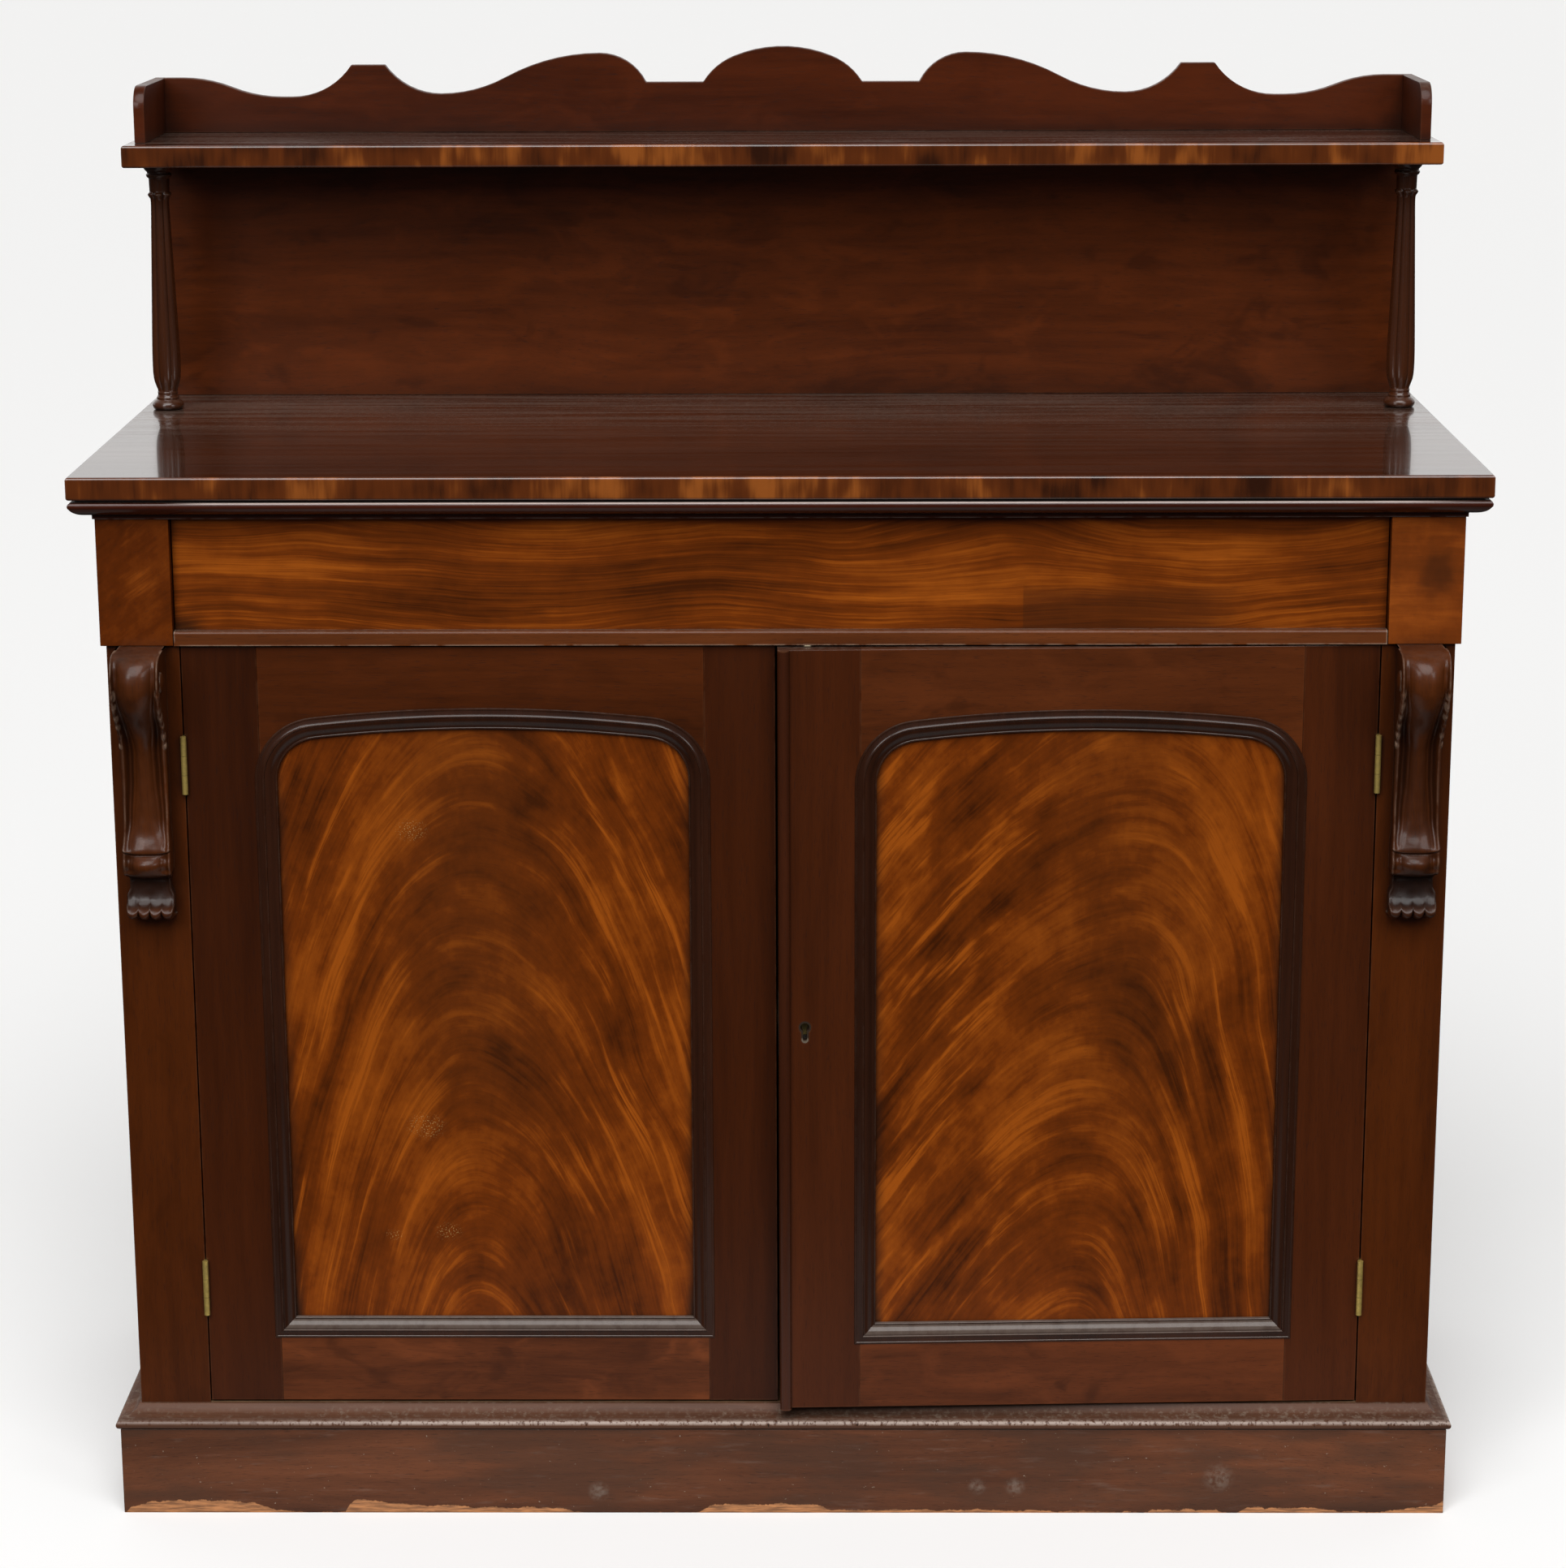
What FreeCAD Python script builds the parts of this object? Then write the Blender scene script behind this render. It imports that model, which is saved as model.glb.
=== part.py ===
import FreeCAD, Part
import math
import os

import Sketcher
from FreeCAD import Placement, Rotation, Vector

# A chiffonier: a two-door cupboard with a drawer hidden in its frieze, under a raised shelf on two columns
# with a shaped gallery. Millimetres, +Z up, the front towards -Y, the origin on the floor under the middle
# of the box.

SIZES = (
    # name, size, what it is
    ("top_width", 1220, "main board, and the raised shelf above it, from side to side"),
    ("top_depth", 500, "main board from front to back"),
    ("top_height", 959.1, "floor to the upper face of the main board"),
    ("top_thick", 20, "thickness of the main board"),
    ("top_overhang", 24.5, "main board past the case, at the front and sides"),
    ("edge_round", 2.5, "rounding of the edges of the main board and the shelf"),
    ("under_height", 19.1, "height of the moulding under the main board"),
    ("under_reach", 24, "that moulding's nose past the case"),
    ("under_fillet", 6, "that moulding's flat foot past the case"),
    ("under_step", 4.2, "height of that foot"),
    ("under_nose", 3.2, "radius of the nose"),
    ("under_quirk", 2.5, "sunk line between the nose and the board"),
    ("under_ovolo", 13, "radius of the swelling between foot and nose"),
    ("plinth_height", 82, "height of the plinth boards"),
    ("plinth_thick", 22, "thickness of the plinth boards"),
    ("plinth_reach", 17.2, "plinth face past the case"),
    ("plinth_quirk", 2, "plinth top to the underside of the bead"),
    ("plinth_bead", 3.6, "radius of the bead on the plinth moulding"),
    ("plinth_hollow", 26, "radius of the hollow above the bead"),
    ("plinth_fillet", 2, "flat at the top of the hollow"),
    ("glue_block", 40, "legs of the corner blocks inside the plinth"),
    ("floor_thick", 19.6, "cupboard floor, and the moulding in front of it"),
    ("side_thick", 20, "case sides"),
    ("back_thick", 10, "back boards"),
    ("back_rebate", 10, "rebate in the sides that the back boards sit in"),
    ("back_gap", 0.4, "joint between two back boards"),
    ("pilaster_width", 63.5, "face of each pilaster"),
    ("frieze_height", 111.9, "height of the frieze"),
    ("block_proud", 4.4, "frieze blocks past the pilasters and sides"),
    ("block_inset", 4.5, "inner edge of a block past the pilaster's"),
    ("frame_wide", 40, "kickers and back rail under the main board"),
    ("rail_deep", 60, "drawer rail from front to back"),
    ("rail_thick", 17, "thickness of the drawer rail and runners"),
    ("rail_cover", 4, "drawer rail above the foot of the frieze"),
    ("runner_wide", 85, "drawer runners from side to side"),
    ("guide_height", 16, "drawer guide above the runner"),
    ("drawer_gap", 0.8, "play at each side of the drawer"),
    ("drawer_lift", 0.3, "drawer above its runners"),
    ("drawer_head", 1, "play above the drawer front"),
    ("front_recess", 5, "drawer front behind the pilaster faces"),
    ("front_thick", 20, "thickness of the drawer front"),
    ("lip_height", 12.4, "height of the lip along the foot of the drawer front"),
    ("lip_round", 2.2, "rounding of the lip's upper edge"),
    ("drawer_setback", 40.5, "end of the drawer to the back boards"),
    ("drawer_side", 12, "thickness of the drawer sides and back"),
    ("drawer_tall", 92, "height of the drawer sides"),
    ("drawer_floor", 6, "thickness of the drawer bottom"),
    ("drawer_groove", 5, "groove in the sides for the drawer bottom"),
    ("groove_height", 5, "foot of the drawer sides to the groove"),
    ("groove_play", 0.2, "play of the drawer bottom in its groove"),
    ("shelf_height", 455, "floor to the upper face of the inner shelf"),
    ("shelf_thick", 16, "inner shelf"),
    ("shelf_setback", 50, "inner shelf behind the doors"),
    ("shelf_play", 0.5, "inner shelf to the case sides and back"),
    ("bearer", 18, "section of the bearers under the inner shelf"),
    ("door_thick", 21, "thickness of the doors"),
    ("stop_gap", 1.2, "shut door to the rail that stops it"),
    ("door_gap", 1, "joint between a door and its pilaster"),
    ("door_head", 1.7, "joint above the doors"),
    ("door_foot", 2, "joint below the doors"),
    ("meeting_gap", 2.3, "joint between the two doors"),
    ("meeting_pass", 2, "right door's edge past the middle of the case"),
    ("ajar", 2, "degrees that the right door stands open"),
    ("hinge_stile", 65.5, "stile on the hinge side"),
    ("left_stile", 62, "meeting stile of the left door"),
    ("right_stile", 72, "meeting stile of the right door"),
    ("foot_rail", 66, "bottom rail of a door"),
    ("head_rail", 60, "top rail of a door above the crown of its arch"),
    ("arch_rise", 60, "springing to crown of the arch"),
    ("arch_shoulder", 52, "radius of the arch's shoulders"),
    ("horn", 1, "least width of the top rail beside the arch"),
    ("panel_sink", 5, "panel face behind the door face"),
    ("panel_thick", 10, "thickness of a door panel"),
    ("panel_lap", 7, "panel into the rebate of its frame"),
    ("panel_play", 0.3, "play of a panel in its rebate"),
    ("mould_width", 14, "moulding round a panel"),
    ("mould_proud", 1.5, "that moulding past the door face"),
    ("bead_width", 10.2, "bead on the meeting edge of the right door"),
    ("bead_proud", 5, "that bead past the door face"),
    ("bead_drop", 1, "that bead below the door"),
    ("hinge_tall", 52, "height of a butt hinge"),
    ("hinge_low", 84, "foot of a door to its lower hinge"),
    ("hinge_high", 79.5, "head of a door to its upper hinge"),
    ("leaf_thick", 1.2, "hinge leaf"),
    ("leaf_wide", 18, "hinge leaf into the joint"),
    ("leaf_let", 0.85, "depth that a leaf is let into the wood"),
    ("knuckle", 2.6, "radius of a hinge knuckle"),
    ("knuckle_gap", 0.35, "knuckle to the door face"),
    ("knuckle_play", 0.15, "play at each end of a knuckle"),
    ("pin_radius", 1.3, "hinge pin"),
    ("pin_play", 0.05, "play of a pin in its knuckle"),
    ("lock_wide", 44, "lock case from the door edge in"),
    ("lock_tall", 60, "lock case"),
    ("lock_deep", 12, "lock case into the back of the stile"),
    ("lock_height", 465, "floor to the round part of the keyhole"),
    ("key_inset", 23, "keyhole to the edge of the door"),
    ("key_head", 4, "radius of the round part of the keyhole"),
    ("key_slot", 3.6, "width of the keyhole's slot"),
    ("key_drop", 13, "middle of the round part to the foot of the slot"),
    ("plate_rim", 1.4, "rim of the key plate round the keyhole"),
    ("plate_thick", 2, "thickness of the key plate and the strike plate"),
    ("bolt_thick", 5, "lock bolt from front to back"),
    ("bolt_tall", 20, "lock bolt"),
    ("bolt_long", 30, "lock bolt"),
    ("bolt_throw", 8, "travel of the lock bolt"),
    ("bolt_play", 0.3, "play round the lock bolt"),
    ("slide_wide", 8, "slide bolts of the left door"),
    ("slide_thick", 5, "thickness of a slide bolt"),
    ("slide_long", 84, "length of a slide bolt"),
    ("slide_inset", 34, "slide bolts from the edge of the left door"),
    ("slide_rest", 3, "drawn slide bolt to its socket"),
    ("slide_throw", 12, "travel of a slide bolt"),
    ("slide_play", 0.3, "play round a slide bolt"),
    ("socket_spare", 2, "depth of a socket past the shot bolt"),
    ("guide_wide", 17, "plate that carries a slide bolt"),
    ("guide_thick", 1.6, "thickness of that plate and its staples"),
    ("staple_tall", 10, "each staple on that plate"),
    ("knob_radius", 4, "knob of a slide bolt"),
    ("knob_long", 7, "knob past the bolt"),
    ("corbel_wide", 42, "corbel from side to side"),
    ("corbel_tall", 245, "corbel"),
    ("corbel_reach", 60, "corbel past the pilaster at its volute"),
    ("corbel_volute", 27, "radius of the volute"),
    ("corbel_shaft", 24, "corbel past the pilaster at its shaft"),
    ("corbel_scroll", 32, "corbel past the pilaster at its lower scroll"),
    ("corbel_roll", 9, "radius of the lower scroll"),
    ("column_inset", 25, "column to the end of the raised shelf"),
    ("column_setback", 55, "column behind the front edge of the raised shelf"),
    ("column_foot", 14.8, "radius of a column's foot and cap"),
    ("column_belly", 13.7, "radius of the shaft where it is widest"),
    ("column_waist", 5.4, "radius lost between a column's foot and its shaft"),
    ("column_neck", 8.6, "radius of the shaft at its top"),
    ("panel_inset", 7, "back panel to the end of the raised shelf"),
    ("panel_board", 16, "thickness of the back panel"),
    ("raised_height", 1211.6, "floor to the upper face of the raised shelf"),
    ("raised_thick", 20.5, "thickness of the raised shelf"),
    ("raised_depth", 159.5, "raised shelf from front to back"),
    ("gallery_inset", 8, "gallery to the end of the raised shelf"),
    ("gallery_thick", 10, "gallery boards"),
    ("gallery_end", 51.9, "height of the gallery at its ends, and of its sides"),
    ("gallery_setback", 29, "front of the gallery sides behind the shelf edge"),
    ("gallery_corner", 20, "rounding of the front corner of a gallery side"),
    ("crest_height", 80.1, "height of the crest in the middle of the gallery"),
    ("crest_crown", 46.5, "middle of the crest to where it turns down"),
    ("crest_drop", 9, "top of the crest down to where it turns"),
    ("crest_half", 76, "middle of the crest to its foot"),
    ("crest_turn", 62, "radius where the crest turns down"),
    ("step_height", 46.8, "height of the step beside the crest"),
    ("hump_height", 74.2, "height of a hump"),
    ("hump_foot", 130.7, "middle of the gallery to the foot of a hump"),
    ("hump_place", 175, "middle of the gallery to the top of a hump"),
    ("dip_height", 36.2, "height of the dip between a hump and a tooth"),
    ("dip_inset", 274.5, "dip to the end of the gallery"),
    ("tooth_height", 63.7, "height of a tooth"),
    ("tooth_inset", 189.5, "tooth to the end of the gallery"),
    ("tooth_wide", 32, "flat top of a tooth"),
    ("trough_height", 33.6, "height of the trough between a tooth and the end"),
    ("trough_inset", 122, "trough to the end of the gallery"),
    ("trough_wide", 10, "flat foot of a trough"),
    ("brow_wide", 27, "level stretch at the end of the gallery"),
)

doc = FreeCAD.newDocument("chiffonier")
sheet = doc.addObject("Spreadsheet::Sheet", "Dims")


class Size:
    """A number and the sheet formula that gives it, so that places are written as plain arithmetic."""

    def __init__(self, value, text):
        self.value = value
        self.text = text

    def __add__(self, other):
        other = as_size(other)
        return Size(self.value + other.value, f"({self.text} + {other.text})")

    def __sub__(self, other):
        other = as_size(other)
        return Size(self.value - other.value, f"({self.text} - {other.text})")

    def __mul__(self, other):
        other = as_size(other)
        return Size(self.value * other.value, f"({self.text} * {other.text})")

    def __truediv__(self, other):
        other = as_size(other)
        return Size(self.value / other.value, f"({self.text} / {other.text})")

    def __neg__(self):
        return Size(-self.value, f"(0 - {self.text})")

    def root(self):
        return Size(math.sqrt(self.value), f"sqrt({self.text})")


def as_size(number):
    return number if isinstance(number, Size) else Size(float(number), repr(float(number)))


class Cells:
    """The sheet's cells by name."""


for row, (name, number, meaning) in enumerate(SIZES, start=1):
    sheet.set(f"A{row}", name)
    sheet.set(f"B{row}", str(number))
    sheet.set(f"C{row}", meaning)
    sheet.setAlias(f"B{row}", name)
    setattr(Cells, name, Size(float(number), f"Dims.{name}"))
doc.recompute()
D = Cells

# ---- places worked out from the sizes ----
half_case = D.top_width / 2 - D.top_overhang
case_deep = D.top_depth - D.top_overhang
rear = (D.corbel_reach + case_deep) / 2
front = rear - case_deep                         # face of the pilasters
top_under = D.top_height - D.top_thick
frieze_top = top_under - D.under_height
frieze_foot = frieze_top - D.frieze_height
floor_top = D.plinth_height + D.floor_thick
door_way = half_case - D.pilaster_width          # middle to the inner edge of a pilaster
inside = half_case - D.side_thick                # middle to the inner face of a side
behind_doors = front + D.door_thick + D.stop_gap  # back of the pilasters
block_edge = door_way + D.block_inset
block_side = half_case + D.block_proud
back_face = rear - D.back_thick                  # inner face of the back boards
rail_top = frieze_foot + D.rail_cover
rail_foot = rail_top - D.rail_thick
door_low = floor_top + D.door_foot
door_high = frieze_foot - D.door_head
door_edge = door_way - D.door_gap                # middle to the hinge edge of a door
door_back = front + D.door_thick
left_edge = D.meeting_pass + D.meeting_gap       # middle to the free edge of the left door
pin_x = door_way - D.door_gap / 2
pin_y = front - D.knuckle - D.knuckle_gap
crown = door_high - D.head_rail
opening_low = door_low + D.foot_rail
springing = crown - D.arch_rise


# ---- tools ----
def bind(thing, prop, amount):
    thing.setExpression(prop, as_size(amount).text)


def board(label, low, span):
    """A square-edged board from its low corner."""
    box = doc.addObject("Part::Box", label)
    for prop, amount in zip(("Length", "Width", "Height"), span):
        bind(box, prop, amount)
    for axis, amount in zip("xyz", low):
        bind(box, f"Placement.Base.{axis}", amount)
    return box


def rod(label, centre, radius, length, turn=None):
    """A round bar up from centre, or turned to lie along another axis."""
    bar = doc.addObject("Part::Cylinder", label)
    bind(bar, "Height", length)
    bind(bar, "Radius", radius)
    if turn:
        bar.Placement = Placement(Vector(), turn)
    for axis, amount in zip("xyz", centre):
        bind(bar, f"Placement.Base.{axis}", amount)
    return bar


TO_BACK = Rotation(Vector(1, 0, 0), -90)


def group(label, parts):
    together = doc.addObject("Part::Compound", label)
    together.Links = parts
    return together


def cut(label, whole, tools):
    """The solid whole with every one of the tools taken out of it."""
    result = doc.addObject("Part::Cut", label)
    result.Base = whole
    result.Tool = tools[0] if len(tools) == 1 else group(label + "_tools", tools)
    return result


def fuse(label, parts):
    joined = doc.addObject("Part::MultiFuse", label)
    joined.Shapes = parts
    return joined


def mirror(label, source):
    """The same piece on the other side of the middle."""
    other = doc.addObject("Part::Mirroring", label)
    other.Source = source
    other.Normal = Vector(1, 0, 0)
    return other


def pair(label, right):
    return group(label, [mirror(label + "_left", right), right])


def arc(start, finish, radius):
    """The arc under half a turn from start to finish, and which of its ends is the start."""
    chord = finish - start
    rise = math.sqrt(max(radius * radius - chord.Length ** 2 / 4, 0))
    side = 1 if radius > 0 else -1
    centre = (start + finish) / 2 + Vector(-chord.y, chord.x, 0).normalize() * rise * side
    first, last = (start, finish) if radius > 0 else (finish, start)
    angles = [math.atan2(end.y - centre.y, end.x - centre.x) for end in (first, last)]
    circle = Part.Circle(centre, Vector(0, 0, 1), abs(radius))
    return Part.ArcOfCircle(circle, *angles), (1, 2) if radius > 0 else (2, 1)


def outline(body, role, points, offset=0):
    """A closed sketch on one of the body's own planes.

    A point is (x, y), or (x, y, radius) where an arc leads on to the next point: a plus radius turns left on
    its way, a minus radius turns right. Every corner and radius is bound to the sheet.
    """
    sketch = body.newObject("Sketcher::SketchObject", body.Name + "_outline")
    plane = [feature for feature in body.Origin.OriginFeatures if feature.Role == role][0]
    sketch.AttachmentSupport = [(plane, "")]
    sketch.MapMode = "FlatFace"
    bind(sketch, "AttachmentOffset.Base.z", offset)
    corners = [Vector(as_size(point[0]).value, as_size(point[1]).value, 0) for point in points]
    ends = []
    for index, point in enumerate(points):
        start, finish = corners[index], corners[(index + 1) % len(points)]
        if len(point) == 2:
            edge, order = Part.LineSegment(start, finish), (1, 2)
        else:
            edge, order = arc(start, finish, as_size(point[2]).value)
        sketch.addGeometry(edge, False)
        ends.append(order)
    rules = []
    bound = []
    for index, point in enumerate(points):
        following = (index + 1) % len(points)
        rules.append(Sketcher.Constraint("Coincident", index, ends[index][1], following, ends[following][0]))
        place = corners[index]
        for kind, amount, value in (("DistanceX", point[0], place.x), ("DistanceY", point[1], place.y)):
            bound.append((len(rules), f"{kind}{index}", amount))
            rules.append(Sketcher.Constraint(kind, -1, 1, index, ends[index][0], value))
        if len(point) == 3:
            radius = as_size(point[2])
            radius = radius if radius.value > 0 else -radius
            bound.append((len(rules), f"Radius{index}", radius))
            rules.append(Sketcher.Constraint("Radius", index, radius.value))
    sketch.addConstraint(rules)
    for index, name, amount in bound:
        sketch.renameConstraint(index, name)
        bind(sketch, f"Constraints.{name}", amount)
    return sketch


def slab(label, role, points, start, length):
    """A body padded from an outline: along +X from the YZ plane, +Y from XZ or +Z from XY, from start on."""
    body = doc.addObject("PartDesign::Body", label)
    start, length = as_size(start), as_size(length)
    # A sketch on the XZ plane faces -Y, so its pad runs back from the far end.
    sketch = outline(body, role, points, -(start + length) if role == "XZ_Plane" else start)
    feature = body.newObject("PartDesign::Pad", label + "_pad")
    feature.Profile = sketch
    bind(feature, "Length", length)
    return body


def round_edges(body, radius, chosen):
    """A fillet on those edges of the body that chosen accepts."""
    doc.recompute()
    base = body.Tip
    names = [f"Edge{index}" for index, edge in enumerate(base.Shape.Edges, start=1) if chosen(edge.BoundBox)]
    fillet = body.newObject("PartDesign::Fillet", body.Name + "_fillet")
    fillet.Base = (base, names)
    bind(fillet, "Radius", radius)
    return body


def arched(centre, half, rise, radius, spring):
    """Points up over a three-centred arch, from its right springing to its left, as outline points.

    The crown arc's centre lies below on the middle line. It meets each shoulder arc where the line through
    both centres does.
    """
    reach = half - radius
    crown_radius = (reach * reach + rise * rise - radius * radius) / ((rise - radius) * 2)
    crown_centre = spring + rise - crown_radius
    share = crown_radius / (crown_radius - radius)
    meet_x = reach * share
    meet_z = crown_centre + (spring - crown_centre) * share
    return [
        (centre + half, spring, radius),
        (centre + meet_x, meet_z, crown_radius),
        (centre - meet_x, meet_z, radius),
        (centre - half, spring),
    ]


def s_curve(start, finish, share, first_side, upright=False):
    """Two tangent arcs from start to finish, level at both ends, or upright at both if said."""
    run, climb = finish[0] - start[0], finish[1] - start[1]
    across = run if upright else climb
    across = across if across.value > 0 else -across
    total = (run * run + climb * climb) / (across * 2)
    bend = (start[0] + run * share, start[1] + climb * share)
    return [(*start, total * (share * first_side)), (*bend, total * ((share - 1) * first_side))]


def single_arc(start, finish, side):
    """An arc from start to finish that is level at one of them."""
    run, climb = finish[0] - start[0], finish[1] - start[1]
    climb = climb if climb.value > 0 else -climb
    return [(*start, (run * run + climb * climb) / (climb * 2) * side)]


def mitred(label, profile, reach, low, high):
    """A moulding round the front and sides of the case, mitred at its corners: one front length, two returns.

    The profile is a list of (distance past the case, height, radius) corners.
    """
    past = reach + 1
    corner = (half_case, front)
    tip = (half_case + past, front - past)
    tools = [
        slab(label + "_front_mitre", "XY_Plane", [corner, tip, (tip[0], front)], low - 1, high - low + 2),
        slab(label + "_side_mitre", "XY_Plane", [corner, (half_case, tip[1]), tip], low - 1, high - low + 2),
    ]
    facing = [(front - point[0], point[1], *[-radius for radius in point[2:]]) for point in profile]
    siding = [(half_case + point[0], *point[1:]) for point in profile]
    long = slab(label + "_length", "YZ_Plane", facing, -tip[0], tip[0] * 2)
    side = slab(label + "_return", "XZ_Plane", siding, tip[1], rear - tip[1])
    face = cut(label + "_front", long, [tools[0], mirror(label + "_left_mitre", tools[0])])
    returns = pair(label + "_returns", cut(label + "_right", side, [tools[1]]))
    return [face, returns]


# ---- plinth and case ----
def plinth():
    wide = half_case + D.plinth_reach
    near = front - D.plinth_reach
    thick, tall = D.plinth_thick, D.plinth_height
    inner, inner_near = wide - thick, near + thick
    front_shape = [(-wide, near), (wide, near), (inner, inner_near), (-inner, inner_near)]
    side_shape = [(wide, near), (wide, rear), (inner, rear), (inner, inner_near)]
    face = slab("plinth_front", "XY_Plane", front_shape, 0, tall)
    side = slab("plinth_right", "XY_Plane", side_shape, 0, tall)
    back = board("plinth_back", (-inner, rear - thick, 0), (inner * 2, thick, tall))
    blocks = []
    for name, y, leg in (("fore", inner_near, D.glue_block), ("aft", rear - thick, -D.glue_block)):
        corner = [(inner, y), (inner, y + leg), (inner - D.glue_block, y)]
        block = slab("block_" + name, "XY_Plane", corner if name == "fore" else corner[::-1], 0, tall)
        blocks += [block, mirror("block_" + name + "_left", block)]
    return [face, pair("plinth_sides", side), back, group("corner_blocks", blocks)]


def plinth_moulding():
    foot, head = D.plinth_height, floor_top
    bead_low = foot + D.plinth_quirk
    bead = D.plinth_bead
    reach = D.plinth_reach
    bead_top = bead_low + bead * 2
    profile = [
        (as_size(0), foot),
        (reach, foot),
        (reach, bead_low, bead),
        (reach + bead, bead_low + bead, bead),
        (reach, bead_top),
        (reach - bead / 2, bead_top, -D.plinth_hollow),
        (D.plinth_fillet, head - D.plinth_fillet / 2),
        (D.plinth_fillet, head),
        (as_size(0), head),
    ]
    return mitred("plinth_moulding", profile, reach + bead, foot, head)


def under_moulding():
    reach, nose = D.under_reach, D.under_nose
    nose_top = top_under - D.under_quirk
    profile = [
        (as_size(0), frieze_top),
        (D.under_fillet, frieze_top),
        (D.under_fillet, frieze_top + D.under_step),
        (D.under_fillet + D.under_quirk, frieze_top + D.under_step, D.under_ovolo),
        (reach, nose_top - nose, nose),
        (reach - nose, nose_top),
        (reach - nose * 2, nose_top),
        (reach - nose * 2, top_under),
        (as_size(0), top_under),
    ]
    return mitred("under_moulding", profile, reach, frieze_top, top_under)


def slide_y():
    """Near face of the left door's slide bolts."""
    return door_back + D.guide_thick + D.slide_play


def slide_socket(label, mouth, up):
    """Blind mortise that takes a slide bolt of the left door."""
    deep = D.slide_throw - D.slide_rest + D.socket_spare
    play = D.slide_play
    low_x = -(left_edge + D.slide_inset + D.slide_wide / 2 + play)
    return board(label, (low_x, slide_y() - play, mouth if up else mouth - deep),
                 (D.slide_wide + play * 2, D.slide_thick + play * 2, deep))


def case():
    low = D.plinth_height
    tall = top_under - low
    right = [(door_way, front), (door_way, behind_doors), (inside, behind_doors), (inside, back_face)]
    floor_shape = right + [(-x, y) for x, y in reversed(right)]
    floor = cut("bottom_board", slab("bottom_blank", "XY_Plane", floor_shape, low, D.floor_thick),
                [slide_socket("floor_socket", floor_top, False)])
    side_blank = board("side_blank", (inside, behind_doors, low), (D.side_thick, rear - behind_doors, tall))
    rebate = board("side_rebate", (inside, back_face, low), (D.back_rebate, D.back_thick, tall))
    side = cut("case_side_right", side_blank, [rebate])
    backs = []
    count = 4
    reach = inside + D.back_rebate
    wide = (reach * 2 - D.back_gap * (count - 1)) / count
    for index in range(count):
        start = -reach + (wide + D.back_gap) * index
        backs.append(board(f"back_board_{index + 1}", (start, back_face, low), (wide, D.back_thick, tall)))
    return [floor, side, mirror("case_side_left", side), group("back_boards", backs)]


def pilaster():
    """The right-hand pilaster, with the seats of its two hinge leaves."""
    blank = board("pilaster_blank", (door_way, front, D.plinth_height),
                  (D.pilaster_width, behind_doors - front, frieze_foot - D.plinth_height))
    seat = (D.leaf_let, D.leaf_wide, D.hinge_tall)
    tools = [board("case_seat_" + name, (door_way, front, z), seat) for name, z in hinge_heights()]
    return cut("pilaster_right", blank, tools)


def frieze():
    tall = frieze_top - frieze_foot
    block = board("block_right", (block_edge, front - D.block_proud, frieze_foot),
                  (block_side - block_edge, behind_doors - front + D.block_proud, tall))
    side = board("frieze_right", (half_case, behind_doors, frieze_foot),
                 (D.block_proud, rear - behind_doors, tall))
    return [pair("frieze_blocks", block), pair("frieze_sides", side)]


def drawer_frame():
    """What the drawer runs on, between and under: rail, runners with their guides, and the frame above."""
    rail_blank = board("rail_blank", (-inside, behind_doors, rail_foot),
                       (inside * 2, D.rail_deep, D.rail_thick))
    rail = cut("drawer_rail", rail_blank, [slide_socket("rail_socket", rail_foot, True)])
    start = behind_doors + D.rail_deep
    inner = inside - D.runner_wide
    guide_top = rail_top + D.guide_height
    section = [
        (inner, rail_foot),
        (inside, rail_foot),
        (inside, guide_top),
        (block_edge, guide_top),
        (block_edge, rail_top),
        (inner, rail_top),
    ]
    runner = slab("runner_right", "XZ_Plane", section, start, back_face - start)
    tall = D.under_height
    fore = board("top_rail", (-half_case, front, frieze_top), (half_case * 2, behind_doors - front, tall))
    aft_y = back_face - D.frame_wide
    aft = board("back_rail", (-inside, aft_y, frieze_top), (inside * 2, D.frame_wide, tall))
    kicker = board("kicker_right", (inner, behind_doors, frieze_top),
                   (D.runner_wide, aft_y - behind_doors, tall))
    return [rail, pair("drawer_runners", runner),
            group("top_frame", [fore, aft, kicker, mirror("kicker_left", kicker)])]


def inner_shelf():
    start = behind_doors + D.shelf_setback
    low = D.shelf_height - D.shelf_thick
    shelf = board("cupboard_shelf", (-(inside - D.shelf_play), start, low),
                  ((inside - D.shelf_play) * 2, back_face - D.shelf_play - start, D.shelf_thick))
    bearer = board("bearer_right", (inside - D.bearer, start, low - D.bearer),
                   (D.bearer, back_face - start, D.bearer))
    return [shelf, pair("shelf_bearers", bearer)]


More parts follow.
